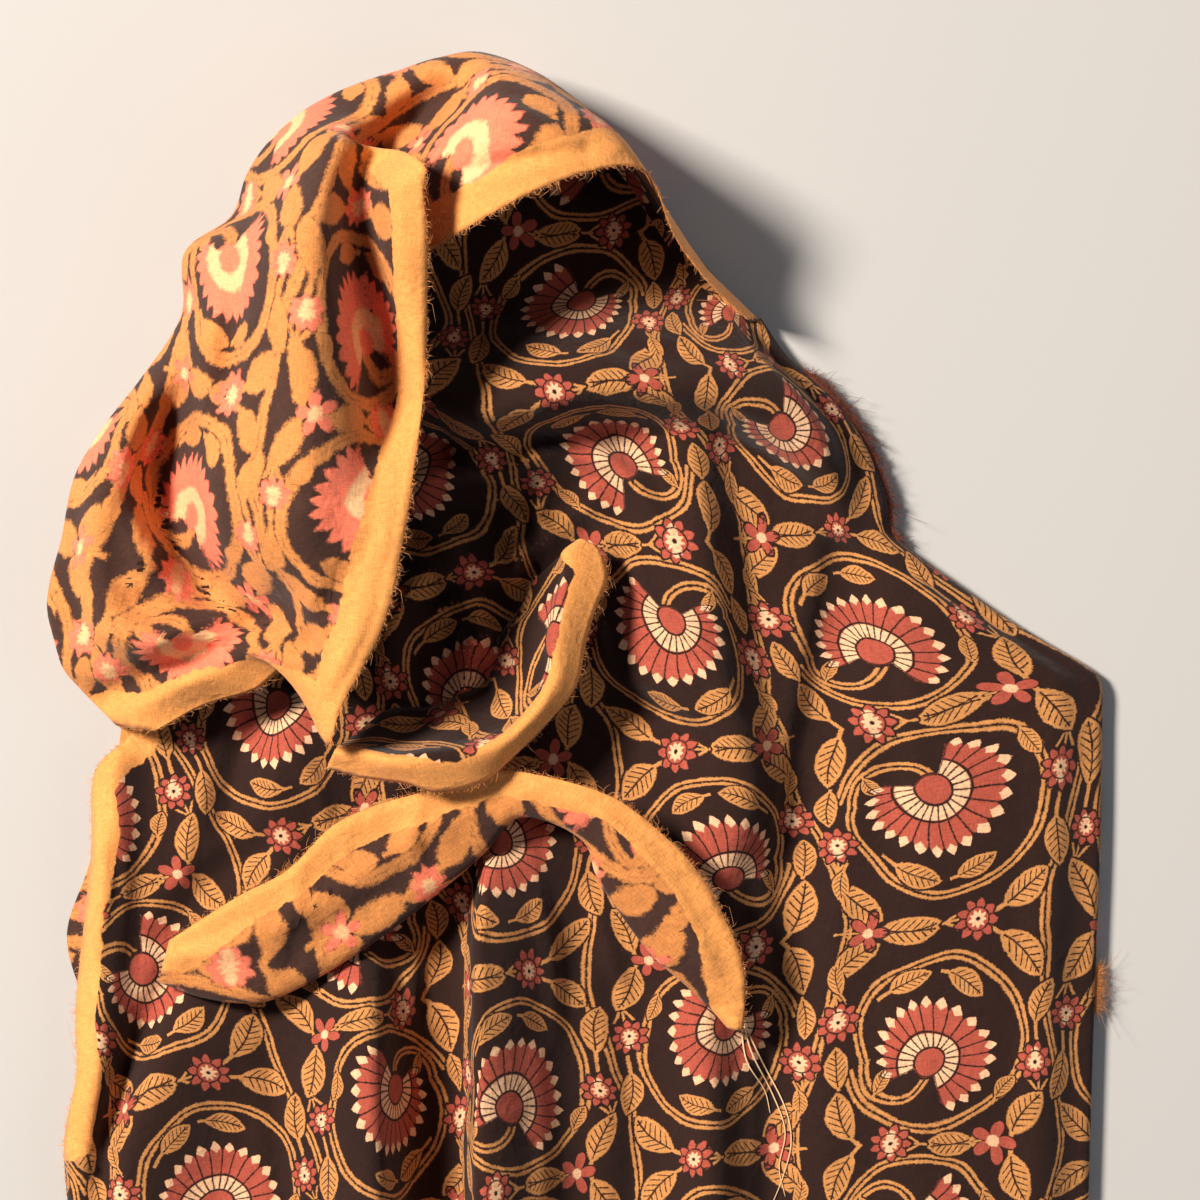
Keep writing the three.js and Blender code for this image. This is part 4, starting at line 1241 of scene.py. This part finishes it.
def strands(paths, radius):
    """Thin tubes along many short lines, thinner towards their tips."""
    paths = np.asarray(paths, float)
    count, rings = paths.shape[:2]
    tangent = unit(np.gradient(paths, axis=1))
    helper = np.where(np.abs(tangent[..., 2:]) < STEEP, [0.0, 0.0, 1.0], [1.0, 0.0, 0.0])
    side = unit(np.cross(tangent, helper))
    other = np.cross(tangent, side)
    taper = np.linspace(1, STRAND_TIP, rings)[None, :, None, None] * radius
    angle = np.arange(STRAND_SIDES) * 2 * math.pi / STRAND_SIDES
    ring = side[:, :, None] * np.cos(angle)[:, None] + other[:, :, None] * np.sin(angle)[:, None]
    points = (paths[:, :, None] + ring * taper).reshape(-1, 3)
    faces = []
    for base in range(0, count * rings * STRAND_SIDES, rings * STRAND_SIDES):
        tip = base + (rings - 1) * STRAND_SIDES
        for low in range(base, tip, STRAND_SIDES):
            for c in range(STRAND_SIDES):
                d = (c + 1) % STRAND_SIDES
                faces.append((low + c, low + d, low + STRAND_SIDES + d, low + STRAND_SIDES + c))
        faces.append(tuple(range(base, base + STRAND_SIDES))[::-1])
        faces.append(tuple(range(tip, tip + STRAND_SIDES)))
    return points, faces


def between(line, low, high):
    """Which points of a line lie between two values of Y."""
    return (line[:, 1] > low) & (line[:, 1] < high)


def fray_paths(edges, per_mm, length, random):
    """Short curved ends along the free edges."""
    paths = []
    for points, outward in edges:
        run = np.concatenate([[0], np.cumsum(np.linalg.norm(np.diff(points, axis=0), axis=1))])
        along = unit(np.gradient(points, axis=0))
        outward = unit(outward)
        up = np.cross(along, outward)
        count = int(run[-1] * per_mm)
        place = random.uniform(0, run[-1], count)

        def pick(values):
            return np.stack([np.interp(place, run, values[:, k]) for k in range(3)], -1)

        base, out, side, lift = pick(points), unit(pick(outward)), unit(pick(along)), unit(pick(up))
        reach = length * (END_LEAST + random.exponential(END_SPREAD, count))[:, None]
        lean = random.normal(0, LEAN_SPREAD, count)[:, None]
        rise = random.normal(0, RISE_SPREAD, count)[:, None]
        curl = random.normal(0, CURL_SPREAD, count)[:, None]
        start = base - out * END_ROOT
        middle = start + (out + side * lean * MIDDLE_LEAN + lift * rise * MIDDLE_RISE) * reach * MIDDLE_PLACE
        bent = side * (lean + curl) * TIP_LEAN + lift * (rise + curl * TIP_CURL)
        tip = start + (out * TIP_PLACE + bent) * reach
        path = np.stack([start, middle, tip], axis=1)
        path[..., 2] = np.maximum(path[..., 2], STRAND_LEAST_HEIGHT)
        paths.append(path)
    return np.concatenate(paths)


def add_strands(name, paths, radius, material):
    """Adds strands as one object that belongs to the cloth."""
    piece = mesh_object(name, *strands(paths, radius), [material])
    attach(piece, "root")


# Settings


def linear(red, green, blue):
    """Colour for the shader from 0 to 255 values as a screen shows them."""
    def one(value):
        value /= 255
        return value / 12.92 if value <= 0.04045 else ((value + 0.055) / 1.055) ** 2.4

    return (one(red), one(green), one(blue), 1.0)


def colour_property(name, description, value):
    """A colour in the panel."""
    return bpy.props.FloatVectorProperty(
        name=name, description=description, subtype="COLOR", size=4, min=0, max=1, default=value
    )


class ClothSettings(bpy.types.PropertyGroup):
    """Sizes and colours of the printed cotton."""

    thickness: bpy.props.FloatProperty(
        name="Thickness", description="Thickness of the cotton", default=0.5 * MM, unit="LENGTH"
    )
    band_width: bpy.props.FloatProperty(
        name="Selvedge band", description="Width of the plain band along the free edges",
        default=14 * MM, unit="LENGTH",
    )
    fray: bpy.props.FloatProperty(
        name="Fray", description="Usual length of the loose ends along the edges",
        default=1.6 * MM, unit="LENGTH",
    )
    # The fuzz on the turned fold is dark as painted shade for the shaded back of the fold.
    fuzz_length: bpy.props.FloatProperty(
        name="Fuzz length", description="Usual length of the fuzz on the worn fold",
        default=2.8 * MM, unit="LENGTH",
    )
    ground: colour_property("Ground", "Dyed ground of the face", linear(42, 21, 15))
    vine: colour_property("Vine", "Stems and leaves", linear(196, 133, 76))
    petal: colour_property("Petals", "Petals of the flowers", linear(170, 78, 61))
    pale: colour_property("Pale", "Hearts and petal tips", linear(232, 182, 142))
    selvedge: colour_property("Selvedge", "Plain band along the edges", linear(230, 153, 82))
    loose: colour_property("Loose threads", "Long pale threads at the cuff", linear(236, 196, 150))
    # Colour of the fuzz: painted shade, a darkened reverse dye for the shaded back of the turned fold.
    fuzz: colour_property("Fuzz", "Dark worn fuzz on the turned fold", linear(140, 66, 36))
    reverse: colour_property("Reverse", "Dye that came through to the back", linear(208, 133, 72))
    island: colour_property("Islands", "Dark ground seen from the back", linear(66, 41, 33))
    reverse_petal: colour_property("Reverse petals", "Flowers from the back", linear(240, 122, 92))
    reverse_pale: colour_property("Reverse pale", "Pale dye from the back", linear(240, 184, 132))


class StudioSettings(bpy.types.PropertyGroup):
    """Floor, light and camera."""

    floor: colour_property("Floor", "Colour of the floor", linear(190, 188, 186))
    key_power: bpy.props.FloatProperty(
        name="Key light", description="Power of the warm light from the top left", default=195.0
    )
    fill_power: bpy.props.FloatProperty(
        name="Fill light", description="Power of the weak light from the right", default=4.0
    )
    camera_height: bpy.props.FloatProperty(
        name="Camera height", description="Height of the camera over the floor", default=2.6,
        unit="LENGTH",
    )
    view_width: bpy.props.FloatProperty(
        name="View width", description="Width of cloth that the picture takes in", default=0.4,
        unit="LENGTH",
    )


# Operators

SHEET_NAME = "printed_cotton"
FRAY_NAME = "frayed_edges"
FUZZ_NAME = "dark_fuzz"
LOOSE_NAME = "loose_threads"
FRAY_SEED = 7
VIEW_CENTRE = (6.7, 30.7, 30)  # middle of the picture on the cloth, in the tables' millimetres

# Studio, in metres.
FLOOR_REACH = 3.0  # half its side
FLOOR_DROP = 0.0005
KEY_LIGHT = ((-1.95, 1.0, 2.35), 0.65, (1.0, 0.92, 0.82))  # place, size and colour
FILL_LIGHT = ((1.3, -0.4, 1.1), 1.2, (0.9, 0.94, 1.0))
WORLD_COLOUR = (0.85, 0.9, 1.0, 1)
WORLD_STRENGTH = 0.13
SENSOR_WIDTH = 36  # mm
CAMERA_END = 20


class PRINTED_COTTON_OT_studio(bpy.types.Operator):
    """Add the floor, the lights and the camera"""

    bl_idname = "printed_cotton.studio"
    bl_label = "Studio"

    def execute(self, context):
        settings = context.scene.cotton_studio
        link = context.scene.collection.objects.link
        floor_mesh = bpy.data.meshes.new("floor")
        floor_mesh.from_pydata(
            [(x * FLOOR_REACH, y * FLOOR_REACH, 0) for x, y in ((-1, -1), (1, -1), (1, 1), (-1, 1))],
            [], [(0, 1, 2, 3)],
        )
        material, _, shader = new_material("Pale floor", FLOOR_FINISH)
        shader.inputs["Base Color"].default_value = settings.floor
        floor_mesh.materials.append(material)
        floor = bpy.data.objects.new("floor", floor_mesh)
        floor.location.z = -FLOOR_DROP
        link(floor)

        aim = to_metres(VIEW_CENTRE)
        lights = (("key", settings.key_power, KEY_LIGHT), ("fill", settings.fill_power, FILL_LIGHT))
        for name, power, (place, size, colour) in lights:
            data = bpy.data.lights.new(name, "AREA")
            data.size = size
            data.energy = power
            data.color = colour
            light = bpy.data.objects.new(name, data)
            light.location = place
            direction = Vector(aim - np.array(place))
            light.rotation_euler = direction.to_track_quat("-Z", "Y").to_euler()
            link(light)
        world = bpy.data.worlds.new("Studio")
        world.use_nodes = True
        background = world.node_tree.nodes["Background"]
        background.inputs["Color"].default_value = WORLD_COLOUR
        background.inputs["Strength"].default_value = WORLD_STRENGTH
        context.scene.world = world
        context.scene.view_settings.view_transform = "Standard"

        data = bpy.data.cameras.new("camera")
        data.sensor_width = SENSOR_WIDTH
        data.lens = SENSOR_WIDTH * (settings.camera_height - VIEW_CENTRE[2] * MM) / settings.view_width
        data.clip_end = CAMERA_END
        camera = bpy.data.objects.new("camera", data)
        camera.location = (aim[0], aim[1], settings.camera_height)
        link(camera)
        context.scene.camera = camera
        return {"FINISHED"}


class PRINTED_COTTON_OT_fray(bpy.types.Operator):
    """Add the frayed ends along the free edges and the threads that hang from the cuff"""

    bl_idname = "printed_cotton.fray"
    bl_label = "Fray and loose threads"

    def execute(self, context):
        settings = context.scene.cotton_cloth
        random = np.random.default_rng(FRAY_SEED)
        *_, edges, (fold, outward) = cloth_shape()
        tuft = between(fold, *TUFT_REACH)
        # Stretch of the fold whose fuzz gets the colour of painted shade.
        shadowed = between(fold, *FUZZ_REACH)
        fuzz_length = settings.fuzz_length / MM
        paths = np.concatenate([
            fray_paths(edges, FRAY_DENSITY, settings.fray / MM, random),
            fray_paths([(fold[tuft], outward[tuft])], TUFT_DENSITY, fuzz_length, random),
        ])
        add_strands(FRAY_NAME, paths, FRAY_RADIUS, thread_material("Golden thread", settings.selvedge))

        # Dark fuzz along the turned fold, its colour painted shade for the shaded back of the fold.
        paths = fray_paths([(fold[shadowed], outward[shadowed])], FUZZ_DENSITY, fuzz_length, random)
        add_strands(FUZZ_NAME, paths, FUZZ_RADIUS, thread_material("Dark fuzz", settings.fuzz))

        paths = []
        for line in LOOSE_THREADS:
            path = catmull(np.array(line, float), np.linspace(0, 1, LOOSE_POINTS))
            path[:, 2] = front_height(path[:, 0], path[:, 1]) + LOOSE_LIFT
            path[:LOOSE_START, 2] = np.linspace(line[0][2], path[LOOSE_START, 2], LOOSE_START)
            paths.append(path)
        add_strands(LOOSE_NAME, paths, LOOSE_RADIUS, thread_material("Pale thread", settings.loose))
        return {"FINISHED"}


class PRINTED_COTTON_OT_sheet(bpy.types.Operator):
    """Add the folded sheet of printed cotton"""

    bl_idname = "printed_cotton.sheet"
    bl_label = "Printed cotton"

    def execute(self, context):
        settings = context.scene.cotton_cloth
        print_group()
        weave_group()
        materials = [
            cotton_material("Printed face", settings, "face"),
            cotton_material("Printed reverse", settings, "reverse"),
        ]
        points, quads, flat, edge, *_ = cloth_shape()
        both, faces, flat, edge, slots = thick_sheet(points, quads, flat, edge, settings.thickness / MM)
        sheet = mesh_object(SHEET_NAME, both, faces.tolist(), materials)
        add_uv(sheet.data, "Flat", flat * MM)
        add_uv(sheet.data, "Edge", np.stack([edge, np.zeros_like(edge)], -1) * MM)
        sheet.data.polygons.foreach_set("material_index", slots.astype(np.int32))
        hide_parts("cloth")
        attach(sheet, "root")
        surface_area(points, quads) * MM * MM
        return {"FINISHED"}


class PRINTED_COTTON_PT_panel(bpy.types.Panel):
    """Sizes, colours and pieces of the printed cotton"""

    bl_label = "Printed cotton"
    bl_idname = "PRINTED_COTTON_PT_panel"
    bl_space_type = "VIEW_3D"
    bl_region_type = "UI"
    bl_category = "Printed cotton"

    def draw(self, context):
        for group in (context.scene.cotton_cloth, context.scene.cotton_studio):
            for name in group.__annotations__:
                self.layout.prop(group, name)
        for operator in OPERATORS:
            self.layout.operator(operator.bl_idname)


OPERATORS = (PRINTED_COTTON_OT_studio, PRINTED_COTTON_OT_fray, PRINTED_COTTON_OT_sheet)
CLASSES = (ClothSettings, StudioSettings, *OPERATORS, PRINTED_COTTON_PT_panel)


def register():
    for cls in CLASSES:
        bpy.utils.register_class(cls)
    bpy.types.Scene.cotton_cloth = bpy.props.PointerProperty(type=ClothSettings)
    bpy.types.Scene.cotton_studio = bpy.props.PointerProperty(type=StudioSettings)


def unregister():
    del bpy.types.Scene.cotton_studio
    del bpy.types.Scene.cotton_cloth
    for cls in reversed(CLASSES):
        bpy.utils.unregister_class(cls)


def main():
    register()
    bpy.ops.printed_cotton.studio()
    bpy.ops.printed_cotton.fray()
    bpy.ops.printed_cotton.sheet()


if __name__ == "__main__":
    main()
